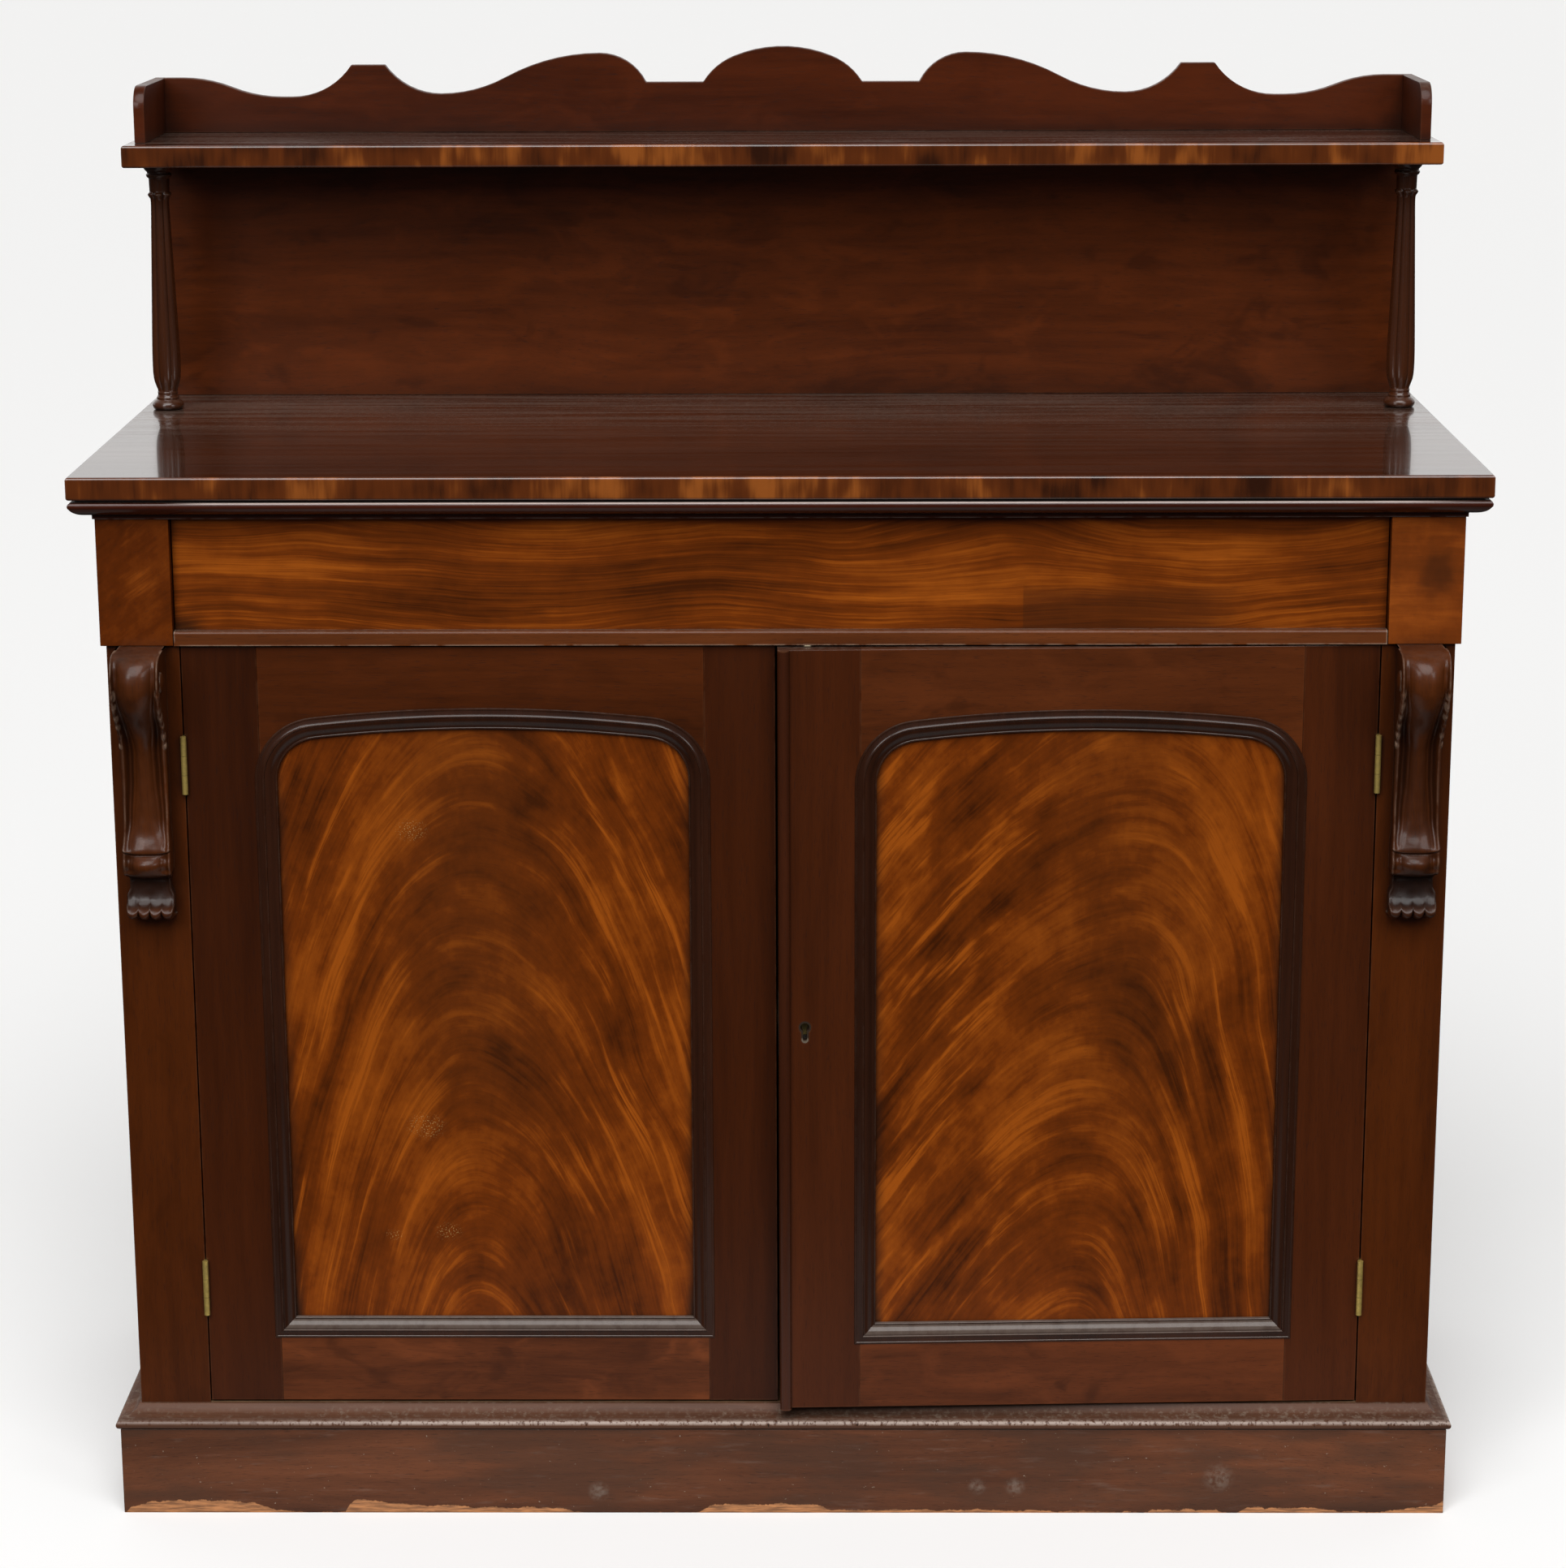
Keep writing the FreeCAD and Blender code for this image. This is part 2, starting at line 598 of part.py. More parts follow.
def corbel():
    """The right-hand console: a volute under the frieze, a shaft, a lower scroll and a foot, as one profile.

    Its points run down from the frieze: (distance past the pilaster, distance below the frieze).
    """
    reach, volute, shaft = D.corbel_reach, D.corbel_volute, D.corbel_shaft
    scroll, roll, tall = D.corbel_scroll, D.corbel_roll, D.corbel_tall
    under_volute = volute + (reach - shaft) * 1.56
    flare = tall - 95
    scroll_at = tall - 59
    undercut = scroll - roll * 2
    toe = tall - 23
    profile = [(as_size(0), as_size(0)), (reach - volute, as_size(0), volute)]
    run, climb = reach - shaft, under_volute - volute
    bend = volute / (run * 0.5 + climb * climb / (run * 2))
    profile += s_curve((reach, volute), (shaft, under_volute), bend, 1, upright=True)
    profile += [(shaft, under_volute)]
    profile += s_curve((shaft, flare), (scroll, scroll_at), 0.5, -1, upright=True)
    profile += [
        (scroll, scroll_at, roll),
        (scroll - roll, scroll_at + roll, -roll),
        (undercut, scroll_at + roll * 2),
        (undercut, toe - 9),
        (shaft, toe),
        (shaft, toe + 8, roll * 1.6),
        (shaft - roll * 1.3, tall),
        (as_size(0), tall),
    ]
    mapped = [(front - point[0], frieze_foot - point[1], *point[2:]) for point in profile]
    middle = half_case - D.pilaster_width / 2
    return slab("corbel_right", "YZ_Plane", mapped, middle - D.corbel_wide / 2, D.corbel_wide)


# ---- top and superstructure ----
def rounded_board(label, deep, low, thick):
    """A board across the whole top, with its front and side edges rounded."""
    half, near = D.top_width / 2, rear - deep
    body = slab(label, "XY_Plane", [(-half, near), (half, near), (half, rear), (-half, rear)], low, thick)
    return round_edges(body, D.edge_round, lambda box: box.ZLength < 1 and not box.YMin > rear.value - 1)


def main_board():
    return rounded_board("top_board", D.top_depth, top_under, D.top_thick)


def raised_shelf():
    return rounded_board("upper_shelf", D.raised_depth, D.raised_height - D.raised_thick, D.raised_thick)


def back_panel():
    foot = D.top_height
    half = D.top_width / 2 - D.panel_inset
    return board("back_panel", (-half, rear - D.panel_board, foot),
                 (half * 2, D.panel_board, D.raised_height - D.raised_thick - foot))


def gallery():
    """The back board, sawn to a crest, humps and square teeth, and the two low side boards."""
    half, foot = D.top_width / 2 - D.gallery_inset, D.raised_height
    end = foot + D.gallery_end
    crest, step, hump = foot + D.crest_height, foot + D.step_height, foot + D.hump_height
    dip, tooth, trough = foot + D.dip_height, foot + D.tooth_height, foot + D.trough_height
    brow = (half - D.brow_wide, end)
    trough_out = (half - D.trough_inset, trough)
    trough_in = (trough_out[0] - D.trough_wide, trough)
    tooth_out = (half - D.tooth_inset, tooth)
    tooth_in = (tooth_out[0] - D.tooth_wide, tooth)
    dip_at, hump_at = (half - D.dip_inset, dip), (D.hump_place, hump)
    crown, drop = D.crest_crown, D.crest_drop
    crown_radius = (crown * crown + drop * drop) / (drop * 2)
    right = [(half, foot), (half, end)]
    right += s_curve(brow, trough_out, 0.5, 1) + [trough_out]
    right += single_arc(trough_in, tooth_out, -1) + [tooth_out]
    right += single_arc(tooth_in, dip_at, -1)
    right += s_curve(dip_at, hump_at, 0.41, -1)
    right += single_arc(hump_at, (D.hump_foot, step), 1)
    right += [(D.hump_foot, step), (D.crest_half, step, D.crest_turn), (crown, crest - drop, crown_radius)]
    # The left half is the right half read backwards, so that each arc is led by its other end.
    left = [(-right[at][0], right[at][1], *right[at - 1][2:]) for at in range(len(right) - 1, 0, -1)]
    whole = [*right, *left, (-half, foot)]
    board_back = slab("gallery_back", "XZ_Plane", whole, rear - D.gallery_thick, D.gallery_thick)
    near = rear - D.raised_depth + D.gallery_setback
    corner = D.gallery_corner
    side = slab("gallery_right", "YZ_Plane",
                [(near, foot), (rear - D.gallery_thick, foot), (rear - D.gallery_thick, end),
                 (near + corner, end, corner), (near, end - corner)],
                half - D.gallery_thick, D.gallery_thick)
    return [board_back, pair("gallery_sides", side)]


def column():
    """The right-hand column: a turned foot and cap, and an eight-sided shaft that swells over its foot."""
    body = doc.addObject("PartDesign::Body", "column_right")
    tall = D.raised_height - D.raised_thick - D.top_height
    foot, neck = D.column_foot, D.column_neck
    waist = foot - D.column_waist
    turning = [
        (0, 0),
        (foot - 3, 0),
        (foot, 2.6),
        (foot, 5.4),
        (foot - 3, 8),
        (foot - 3.4, 10),
        (waist, 12.5),
        (waist, 17),
        (neck * 0.8, 17),
        (neck * 0.8, tall - 26),
        (neck + 0.7, tall - 26),
        (neck + 1.6, tall - 13),
        (neck + 3.2, tall - 12),
        (neck + 3.2, tall - 9.5),
        (neck + 1.8, tall - 8.5),
        (foot, tall - 5),
        (foot, tall),
        (0, tall),
    ]
    turned = body.newObject("PartDesign::Revolution", "column_turning")
    turned.Profile = outline(body, "XZ_Plane", turning)
    turned.ReferenceAxis = (turned.Profile[0], ["V_Axis"])
    turned.Angle = 360
    rings = (
        (waist, 17),
        (D.column_belly - 0.8, 29),
        (D.column_belly, 41),
        (neck, tall - 33),
        (neck + 2.4, tall - 28.5),
        (neck + 0.7, tall - 26),
    )
    sections = []
    faces = 8
    for radius, height in rings:
        ring = []
        for face in range(faces):
            angle = 2 * math.pi * (face + 0.5) / faces
            ring.append((radius * math.cos(angle), radius * math.sin(angle)))
        sections.append(outline(body, "XY_Plane", ring, height))
    shaft = body.newObject("PartDesign::AdditiveLoft", "column_shaft")
    shaft.Profile = sections[0]
    shaft.Sections = sections[1:]
    shaft.Ruled = True
    bind(body, "Placement.Base.x", D.top_width / 2 - D.column_inset)
    bind(body, "Placement.Base.y", rear - D.raised_depth + D.column_setback)
    bind(body, "Placement.Base.z", D.top_height)
    return body


# ---- drawer ----
def drawer():
    half = block_edge - D.drawer_gap
    low = rail_top + D.drawer_lift
    face_y = front + D.front_recess
    back_y = face_y + D.front_thick
    end_y = back_face - D.drawer_setback
    front_tall = frieze_top - D.drawer_head - low
    face = board("drawer_front", (-half, face_y, low), (half * 2, D.front_thick, front_tall))
    lip_top = frieze_foot + D.lip_height
    near = front - D.block_proud
    section = [
        (near, frieze_foot),
        (face_y, frieze_foot),
        (face_y, lip_top),
        (near + D.lip_round, lip_top, D.lip_round),
        (near, lip_top - D.lip_round),
    ]
    lip = slab("drawer_lip", "YZ_Plane", section, -half, half * 2)
    groove_z = low + D.groove_height
    inner, long = half - D.drawer_side, end_y - back_y
    side_blank = board("drawer_side_blank", (inner, back_y, low), (D.drawer_side, long, D.drawer_tall))
    groove = board("drawer_side_groove", (inner, back_y, groove_z),
                   (D.drawer_groove, long, D.drawer_floor + D.groove_play * 2))
    side = cut("drawer_side_right", side_blank, [groove])
    floor_z = groove_z + D.groove_play
    floor_half = inner + D.drawer_groove - D.groove_play
    floor = board("drawer_bottom", (-floor_half, back_y, floor_z), (floor_half * 2, long, D.drawer_floor))
    back_low = floor_z + D.drawer_floor
    back = board("drawer_back", (-inner, end_y - D.drawer_side, back_low),
                 (inner * 2, D.drawer_side, low + D.drawer_tall - back_low))
    return [face, lip, side, mirror("drawer_side_left", side), back, floor]


# ---- doors ----
def door_board(label, hand, near, far, y, deep, low, high):
    """A board of a door, by its distances from the hinge edge. Hand is 1 for the right door, else -1."""
    start = door_edge - far if hand > 0 else near - door_edge
    return board(label, (start, y, low), (far - near, deep, high - low))


def door_frame(side, hand, wide, meeting, extra_cuts):
    """The frame, panel and moulding of one door, shut."""
    name = side + "_door_"
    stile_end = wide - meeting
    lap, sunk = D.panel_lap, front + D.panel_sink
    rebate_deep = D.door_thick - D.panel_sink
    rebate = (opening_low - lap, crown + lap)

    def blank(label, near, far, low, high):
        return door_board(name + label, hand, near, far, front, D.door_thick, low, high)

    def groove(label, near, far, low, high):
        return door_board(name + label, hand, near, far, sunk, rebate_deep, low, high)

    hinge = cut(name + "hinge_stile", blank("hinge_blank", as_size(0), D.hinge_stile, door_low, door_high),
                [groove("hinge_rebate", D.hinge_stile - lap, D.hinge_stile, *rebate)] + extra_cuts["hinge"])
    free = cut(name + "meeting_stile", blank("meeting_blank", stile_end, wide, door_low, door_high),
               [groove("meeting_rebate", stile_end, stile_end + lap, *rebate)] + extra_cuts["meeting"])
    foot = cut(name + "bottom_rail", blank("foot_blank", D.hinge_stile, stile_end, door_low, opening_low),
               [groove("foot_rebate", D.hinge_stile, stile_end, rebate[0], opening_low)])
    half = (stile_end - D.hinge_stile) / 2
    centre = (door_edge - D.hinge_stile - half) * hand
    arch = arched(centre, half, D.arch_rise, D.arch_shoulder, springing)
    # The arch runs out where it comes within a horn's width of the stile.
    shoulder = D.arch_shoulder
    tip_z = springing + (shoulder * shoulder - (shoulder - D.horn) * (shoulder - D.horn)).root()
    head_shape = [
        (centre - half, door_high),
        (centre - half, tip_z),
        (centre - half + D.horn, tip_z, -shoulder),
        (arch[2][0], arch[2][1], -arch[1][2]),
        (arch[1][0], arch[1][1], -shoulder),
        (centre + half - D.horn, tip_z),
        (centre + half, tip_z),
        (centre + half, door_high),
    ]
    head = cut(name + "top_rail", slab(name + "head_blank", "XZ_Plane", head_shape, front, D.door_thick),
               [groove("head_rebate", D.hinge_stile, stile_end, springing, rebate[1])])
    spare = lap - D.panel_play
    panel = door_board(name + "panel", hand, D.hinge_stile - spare, stile_end + spare, sunk, D.panel_thick,
                       opening_low - spare, crown + spare)
    return [hinge, free, foot, head, panel, panel_moulding(name, centre, half)]


def panel_moulding(name, centre, half):
    """The moulding planted round a door panel: a bead outside, then a slope down to a thin inner lip."""
    body = doc.addObject("PartDesign::Body", name + "panel_moulding")
    path = [(centre, opening_low), (centre + half, opening_low)]
    path += arched(centre, half, D.arch_rise, D.arch_shoulder, springing)
    path += [(centre - half, opening_low)]
    spine = outline(body, "XZ_Plane", path, -(front + D.panel_sink))
    proud = front - D.mould_proud
    seat = front + D.panel_sink
    wide = D.mould_width
    bead = D.mould_proud
    section = [
        (seat, opening_low),
        (seat, opening_low + wide),
        (seat - bead, opening_low + wide),
        (proud + bead * 1.4, opening_low + wide * 0.4),
        (proud, opening_low + bead * 1.6),
        (proud, opening_low),
    ]
    profile = outline(body, "YZ_Plane", section, centre)
    sweep = body.newObject("PartDesign::AdditivePipe", name + "moulding_sweep")
    sweep.Profile = profile
    sweep.Spine = spine
    sweep.Transition = "Right corner"
    return body


def hinge_heights():
    return (("lower", door_low + D.hinge_low), ("upper", door_high - D.hinge_high - D.hinge_tall))


def hinges():
    """The right door's two butt hinges: case leaves, door leaves and pins."""
    parts = {"case_leaf": [], "door_leaf": [], "pin": []}
    knuckles = 3
    for name, z in hinge_heights():
        step = D.hinge_tall / knuckles
        parts["pin"].append(rod("pin_" + name, (pin_x, pin_y, z), D.pin_radius, D.hinge_tall))
        for leaf, way in (("case", 1), ("door", -1)):
            # Each leaf lies in its own half of the joint, let into the wood behind it.
            deep_face = pin_x + (D.door_gap / 2 + D.leaf_let) * way
            low_x = deep_face - D.leaf_thick if way > 0 else deep_face
            plate_span = (D.leaf_thick, D.leaf_wide, D.hinge_tall)
            pieces = [board(f"{leaf}_plate_{name}", (low_x, front, z), plate_span)]
            for turn in range(0 if way > 0 else 1, knuckles, 2):
                low = z + step * turn + D.knuckle_play
                tall = step - D.knuckle_play * 2
                pieces.append(rod(f"{leaf}_knuckle_{name}_{turn}", (pin_x, pin_y, low), D.knuckle, tall))
                pieces.append(board(f"{leaf}_neck_{name}_{turn}", (low_x, pin_y, low),
                                    (D.leaf_thick, front - pin_y, tall)))
            bore = rod(f"{leaf}_bore_{name}", (pin_x, pin_y, z - 1), D.pin_radius + D.pin_play,
                       D.hinge_tall + 2)
            whole = fuse(f"{leaf}_leaf_{name}_blank", pieces)
            parts[leaf + "_leaf"].append(cut(f"{leaf}_leaf_{name}", whole, [bore]))
    return parts


def key_outline(x, z, rim):
    """A keyhole, or with a rim the plate round it: a round head over a slot with a round foot."""
    head = D.key_head + rim
    slot = D.key_slot / 2 + rim
    foot = z - D.key_drop - rim
    neck = z - (head * head - slot * slot).root()
    return [(x + slot, neck, head), (x, z + head, head), (x - slot, neck), (x - slot, foot + slot, slot),
            (x, foot, slot), (x + slot, foot + slot)]


def lock():
    """The right door's lock: case, bolt and key plate, with what is cut out of the stiles for them."""
    edge = -D.meeting_pass
    key_x, z = edge + D.key_inset, D.lock_height
    low = z - D.lock_tall / 2
    case_y = door_back - D.lock_deep
    bolt_y = case_y + D.bolt_thick / 2
    play, rim = D.bolt_play, D.plate_rim
    case_span = (D.lock_wide, D.lock_deep, D.lock_tall)
    blank = board("lock_blank", (edge, case_y, low), case_span)
    way = board("lock_way", (edge - 1, bolt_y - play, z - D.bolt_tall / 2 - play),
                (D.bolt_long + D.bolt_throw + 1, D.bolt_thick + play * 2, D.bolt_tall + play * 2))
    key_way = slab("lock_key_way", "XZ_Plane", key_outline(key_x, z, as_size(0)), case_y, D.bolt_thick / 2)
    lock_case = cut("lock_case", blank, [way, key_way])
    bolt = board("lock_bolt", (edge + D.bolt_play, bolt_y, z - D.bolt_tall / 2),
                 (D.bolt_long, D.bolt_thick, D.bolt_tall))

    def key_slab(label, widened, deep):
        return slab(label, "XZ_Plane", key_outline(key_x, z, as_size(widened)), front, deep)

    plate = cut("key_plate", key_slab("key_plate_blank", rim, D.plate_thick),
                [key_slab("key_plate_hole", 0, D.plate_thick)])
    right_cuts = [
        board("lock_mortise", (edge, case_y, low), case_span),
        key_slab("key_seat", rim, D.plate_thick),
        key_slab("key_hole", 0, case_y - front),
    ]
    reach = D.bolt_throw + 1
    slot = ((-(left_edge + reach), bolt_y - play * 2, z - D.bolt_tall / 2 - play * 2),
            (reach, D.bolt_thick + play * 4, D.bolt_tall + play * 4))
    strike_tall = D.bolt_tall + 16
    plate_place = ((-(left_edge + D.plate_thick), bolt_y - D.bolt_thick / 2, z - strike_tall / 2),
                   (D.plate_thick, D.bolt_thick * 2, strike_tall))
    strike = cut("strike_plate", board("strike_blank", *plate_place), [board("strike_slot", *slot)])
    left_cuts = [board("strike_seat", *plate_place), board("strike_mortise", *slot)]
    return {
        "case": lock_case,
        "bolt": bolt,
        "plate": plate,
        "strike": strike,
        "right": right_cuts,
        "left": left_cuts,
    }


def slide_bolt(name, up):
    """A brass bolt on the back of the left door that shoots up into the rail or down into the floor."""
    wide, thick, long, play = D.slide_wide, D.slide_thick, D.slide_long, D.slide_play
    x, y = -(left_edge + D.slide_inset), slide_y()
    low = rail_foot - D.slide_rest - long if up else floor_top + D.slide_rest
    knob_z = low + D.staple_tall if up else low + long - D.staple_tall
    bar = board(name + "_bar", (x - wide / 2, y, low), (wide, thick, long))
    knob = rod(name + "_knob", (x, y + thick / 2, knob_z), D.knob_radius, thick / 2 + D.knob_long, TO_BACK)
    end, run = D.knob_radius + D.slide_throw + D.staple_tall, D.knob_radius
    near, far = (low + end, low + long - run) if up else (low + run, low + long - end)
    plate_x = x - D.guide_wide / 2
    pieces = [board(name + "_plate", (plate_x, door_back, near), (D.guide_wide, D.guide_thick, far - near))]
    staple_span = (D.guide_wide, y + thick + play + D.guide_thick - door_back, D.staple_tall)
    for label, z in (("near", near), ("far", far - D.staple_tall)):
        pieces.append(board(f"{name}_staple_{label}", (plate_x, door_back, z), staple_span))
    way = board(name + "_way", (x - wide / 2 - play, y - play, near - 1),
                (wide + play * 2, thick + play * 2, far - near + 2))
    return fuse(name, [bar, knob]), cut(name + "_guide", fuse(name + "_guide_blank", pieces), [way])


def meeting_bead():
    """Half-round bead on the face of the right door along its meeting edge."""
    low = door_low - D.bead_drop
    left, right = -D.meeting_pass, D.bead_width - D.meeting_pass
    near = front - D.bead_proud
    flat = D.bead_proud * 0.3
    middle = (left + right) / 2
    half = D.bead_width / 2
    swell = D.bead_proud - flat
    radius = (half * half + swell * swell) / (swell * 2)
    section = [
        (left, front),
        (left, front - flat, radius),
        (middle, near, radius),
        (right, front - flat),
        (right, front),
    ]
    return slab("meeting_bead", "XY_Plane", section, low, door_high - low)


def swing(label, piece):
    """The piece as it stands on the right door, which is a little open."""
    placed = group(label, [piece])
    hinge = Vector(pin_x.value, pin_y.value, 0)
    placed.Placement = Placement(Vector(), Rotation(Vector(0, 0, 1), D.ajar.value), hinge)
    return placed


def doors():
    lock_parts = lock()
    fittings = hinges()
    right_seats = []
    for name, z in hinge_heights():
        right_seats.append(board("door_seat_" + name, (door_edge - D.leaf_let, front, z),
                                 (D.leaf_let, D.leaf_wide, D.hinge_tall)))
    left_seats = [mirror("left_" + seat.Name, seat) for seat in right_seats]
    left = door_frame("left", -1, door_edge - left_edge, D.left_stile,
                      {"hinge": left_seats, "meeting": lock_parts["left"]})
    right = door_frame("right", 1, door_edge + D.meeting_pass, D.right_stile,
                       {"hinge": right_seats, "meeting": lock_parts["right"]})
    upper, upper_guide = slide_bolt("upper_bolt", True)
    lower, lower_guide = slide_bolt("lower_bolt", False)
    nodes = {}
    for piece in left:
        nodes[piece.Name] = piece
    for piece in right:
        nodes[piece.Name] = swing(piece.Name + "_ajar", piece)
    nodes["meeting_bead"] = swing("bead_ajar", meeting_bead())
    for name, part in (("lock_case", "case"), ("lock_bolt", "bolt"), ("key_plate", "plate")):
        nodes[name] = swing(name + "_ajar", lock_parts[part])
    nodes["strike_plate"] = lock_parts["strike"]
    nodes["upper_bolt"] = upper
    nodes["lower_bolt"] = lower
    nodes["bolt_guides"] = group("bolt_guides", [upper_guide, lower_guide])
    for kind, name in (("case_leaf", "hinge_case_leaves"), ("pin", "hinge_pins")):
        nodes[name] = pair(name, group(name + "_right", fittings[kind]))
    leaves = group("door_leaves", fittings["door_leaf"])
    nodes["right_hinge_leaves"] = swing("right_hinge_leaves", leaves)
    nodes["left_hinge_leaves"] = mirror("left_hinge_leaves", leaves)
    return nodes


def build():
    """Every piece of the chiffonier by its name."""
    pieces = plinth() + plinth_moulding() + case()
    pieces += [pair("pilasters", pilaster())]
    pieces += frieze() + drawer_frame() + inner_shelf()
    pieces += [pair("corbels", corbel())]
    pieces += [main_board()] + under_moulding()
    pieces += [back_panel(), pair("columns", column()), raised_shelf()] + gallery()
    pieces += drawer()
    nodes = {piece.Name: piece for piece in pieces}
    nodes.update(doors())
    return nodes


nodes = build()
doc.recompute()

# ---- check and write ----
for thing in doc.Objects:
    if "Invalid" in thing.State or "Error" in thing.State:
        raise RuntimeError(f"{thing.Name} did not build: {thing.State}")
triangles = 0
os.makedirs("parts", exist_ok=True)
for name, piece in nodes.items():
    piece.Label = name
    shape = piece.Shape
    if shape.isNull() or not shape.isValid() or not shape.Solids:
        raise RuntimeError(f"{name} is not a sound solid")
for name, piece in nodes.items():
    piece.Shape.exportStep(f"parts/{name}.step")
    triangles += len(piece.Shape.tessellate(0.1)[1])
    box = piece.Shape.BoundBox
    print(f"{name:28s} solids {len(piece.Shape.Solids):2d}  x {box.XMin:8.1f} {box.XMax:8.1f}  "
          f"y {box.YMin:8.1f} {box.YMax:8.1f}  z {box.ZMin:8.1f} {box.ZMax:8.1f}")
print(len(nodes), "nodes,", triangles, "triangles")
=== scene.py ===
"""Dresses the chiffonier's frame: corbels, columns, mouldings, polish, veneers, brass and dust."""

import math
from functools import partialmethod
from types import SimpleNamespace

import bmesh
import bpy
from bpy.props import FloatProperty, FloatVectorProperty, IntProperty, PointerProperty
from mathutils import Matrix, Vector, noise


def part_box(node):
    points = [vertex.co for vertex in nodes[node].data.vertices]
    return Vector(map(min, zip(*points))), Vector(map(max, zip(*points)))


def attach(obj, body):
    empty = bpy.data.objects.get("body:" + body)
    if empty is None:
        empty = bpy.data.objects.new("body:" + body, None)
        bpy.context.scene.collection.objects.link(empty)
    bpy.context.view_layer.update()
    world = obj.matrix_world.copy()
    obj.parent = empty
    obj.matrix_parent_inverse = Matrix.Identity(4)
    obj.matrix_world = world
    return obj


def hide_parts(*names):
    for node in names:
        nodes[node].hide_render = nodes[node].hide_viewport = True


bl_info = {
    "name": "Chiffonier",
    "version": (1, 0, 0),
    "blender": (4, 5, 0),
    "location": "View3D > Sidebar > Chiffonier",
    "description": "Carving, mouldings and finishes of a mahogany chiffonier",
    "category": "Object",
}

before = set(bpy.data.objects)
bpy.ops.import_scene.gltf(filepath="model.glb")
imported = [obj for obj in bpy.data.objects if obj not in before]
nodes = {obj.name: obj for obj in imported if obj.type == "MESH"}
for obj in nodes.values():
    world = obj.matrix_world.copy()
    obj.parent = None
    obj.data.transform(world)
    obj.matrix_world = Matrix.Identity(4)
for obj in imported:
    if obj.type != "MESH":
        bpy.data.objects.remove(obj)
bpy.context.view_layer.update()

MM = 0.001
PILASTER_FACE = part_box("pilasters")[0].y
CASE_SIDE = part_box("pilasters")[1].x
CASE_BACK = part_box("case_side_left")[1].y
DOOR_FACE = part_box("left_door_hinge_stile")[0].y
FRIEZE_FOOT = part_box("frieze_blocks")[0].z
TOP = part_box("top_board")[1].z
TOP_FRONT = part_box("top_board")[0].y
SHELF_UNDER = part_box("upper_shelf")[0].z
SHELF_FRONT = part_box("upper_shelf")[0].y
# Axis of the right door's hinges, and how far that door stands open at rest.
PIN_RADIUS = 1.3 * MM
HINGE_PIN = Vector((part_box("hinge_pins")[1].x - PIN_RADIUS, -210.7 * MM, 0))
AJAR = math.radians(2)

# Each door's panel: middle, half width, foot of the opening, springing and crown of its arch.
PANELS = {
    "left": (-260.9 * MM, 194.6 * MM, 169.6 * MM, 686.4 * MM, 746.4 * MM),
    "right": (262.75 * MM, 192.75 * MM, 169.6 * MM, 686.4 * MM, 746.4 * MM),
}
ARCH_SHOULDER = 52 * MM

# What fills the pores of the wood, and the grime and painted shade in its corners.
PORE = (0.006, 0.002, 0.001)
GRIME_AND_SHADE = (0.006, 0.003, 0.002)


# ---- settings ----
def colour(name, text, default):
    return FloatVectorProperty(name=name, description=text, subtype="COLOR", min=0, max=1, default=default)


class CHIFFONIER_PG_looks(bpy.types.PropertyGroup):
    timber_tint: colour("Timber tint", "Multiplies the colours of the solid mahogany", (1, 1, 1))
    veneer_dark: colour("Veneer, dark", "Shadowed figure of the flame veneer", (0.045, 0.0092, 0.0012))
    veneer_mid: colour("Veneer, middle", "Body of the flame veneer", (0.146, 0.0285, 0.0021))
    veneer_light: colour("Veneer, light", "Bright strokes of the flame veneer", (0.33, 0.077, 0.0055))
    dust: colour("Dust", "Dust on ledges and in corners", (0.2, 0.15, 0.12))
    raw_wood: colour("Bare wood", "Chipped wood along the floor", (0.5, 0.215, 0.085))
    brass: colour("Brass", "Hinges, bolts and screws", (0.74, 0.54, 0.15))
    edge_round: FloatProperty(
        name="Edge rounding", description="Softening of square edges", unit="LENGTH", default=0.6 * MM, min=0
    )
    lobes: IntProperty(name="Lobes", description="Lobes round a column's shaft", default=6, min=3)


def looks():
    return bpy.context.scene.chiffonier_looks


# ---- node trees ----
class Flow:
    """A value on its way through a node tree, which adds and multiplies like a number."""

    def __init__(self, tree, socket):
        self.tree = tree
        self.socket = socket

    def math(self, operation, *others):
        node = self.tree.nodes.new("ShaderNodeMath")
        node.operation = operation
        for index, value in enumerate((self, *others)):
            feed(self.tree, node.inputs[index], value)
        return Flow(self.tree, node.outputs[0])

    __add__ = partialmethod(math, "ADD")
    __sub__ = partialmethod(math, "SUBTRACT")
    __mul__ = partialmethod(math, "MULTIPLY")
    __pow__ = partialmethod(math, "POWER")
    __abs__ = partialmethod(math, "ABSOLUTE")

    def span(self, low, high, out_low=0, out_high=1, smooth=True):
        """This value's place between low and high, as a value from out_low to out_high."""
        node = self.tree.nodes.new("ShaderNodeMapRange")
        node.interpolation_type = "SMOOTHSTEP" if smooth else "LINEAR"
        for index, value in enumerate((self, low, high, out_low, out_high)):
            feed(self.tree, node.inputs[index], value)
        return Flow(self.tree, node.outputs[0])


def feed(tree, socket, value):
    if isinstance(value, Flow):
        tree.links.new(value.socket, socket)
    elif hasattr(socket.default_value, "__len__") and hasattr(value, "__len__"):
        socket.default_value = (*value, 1)[:len(socket.default_value)]
    else:
        socket.default_value = value


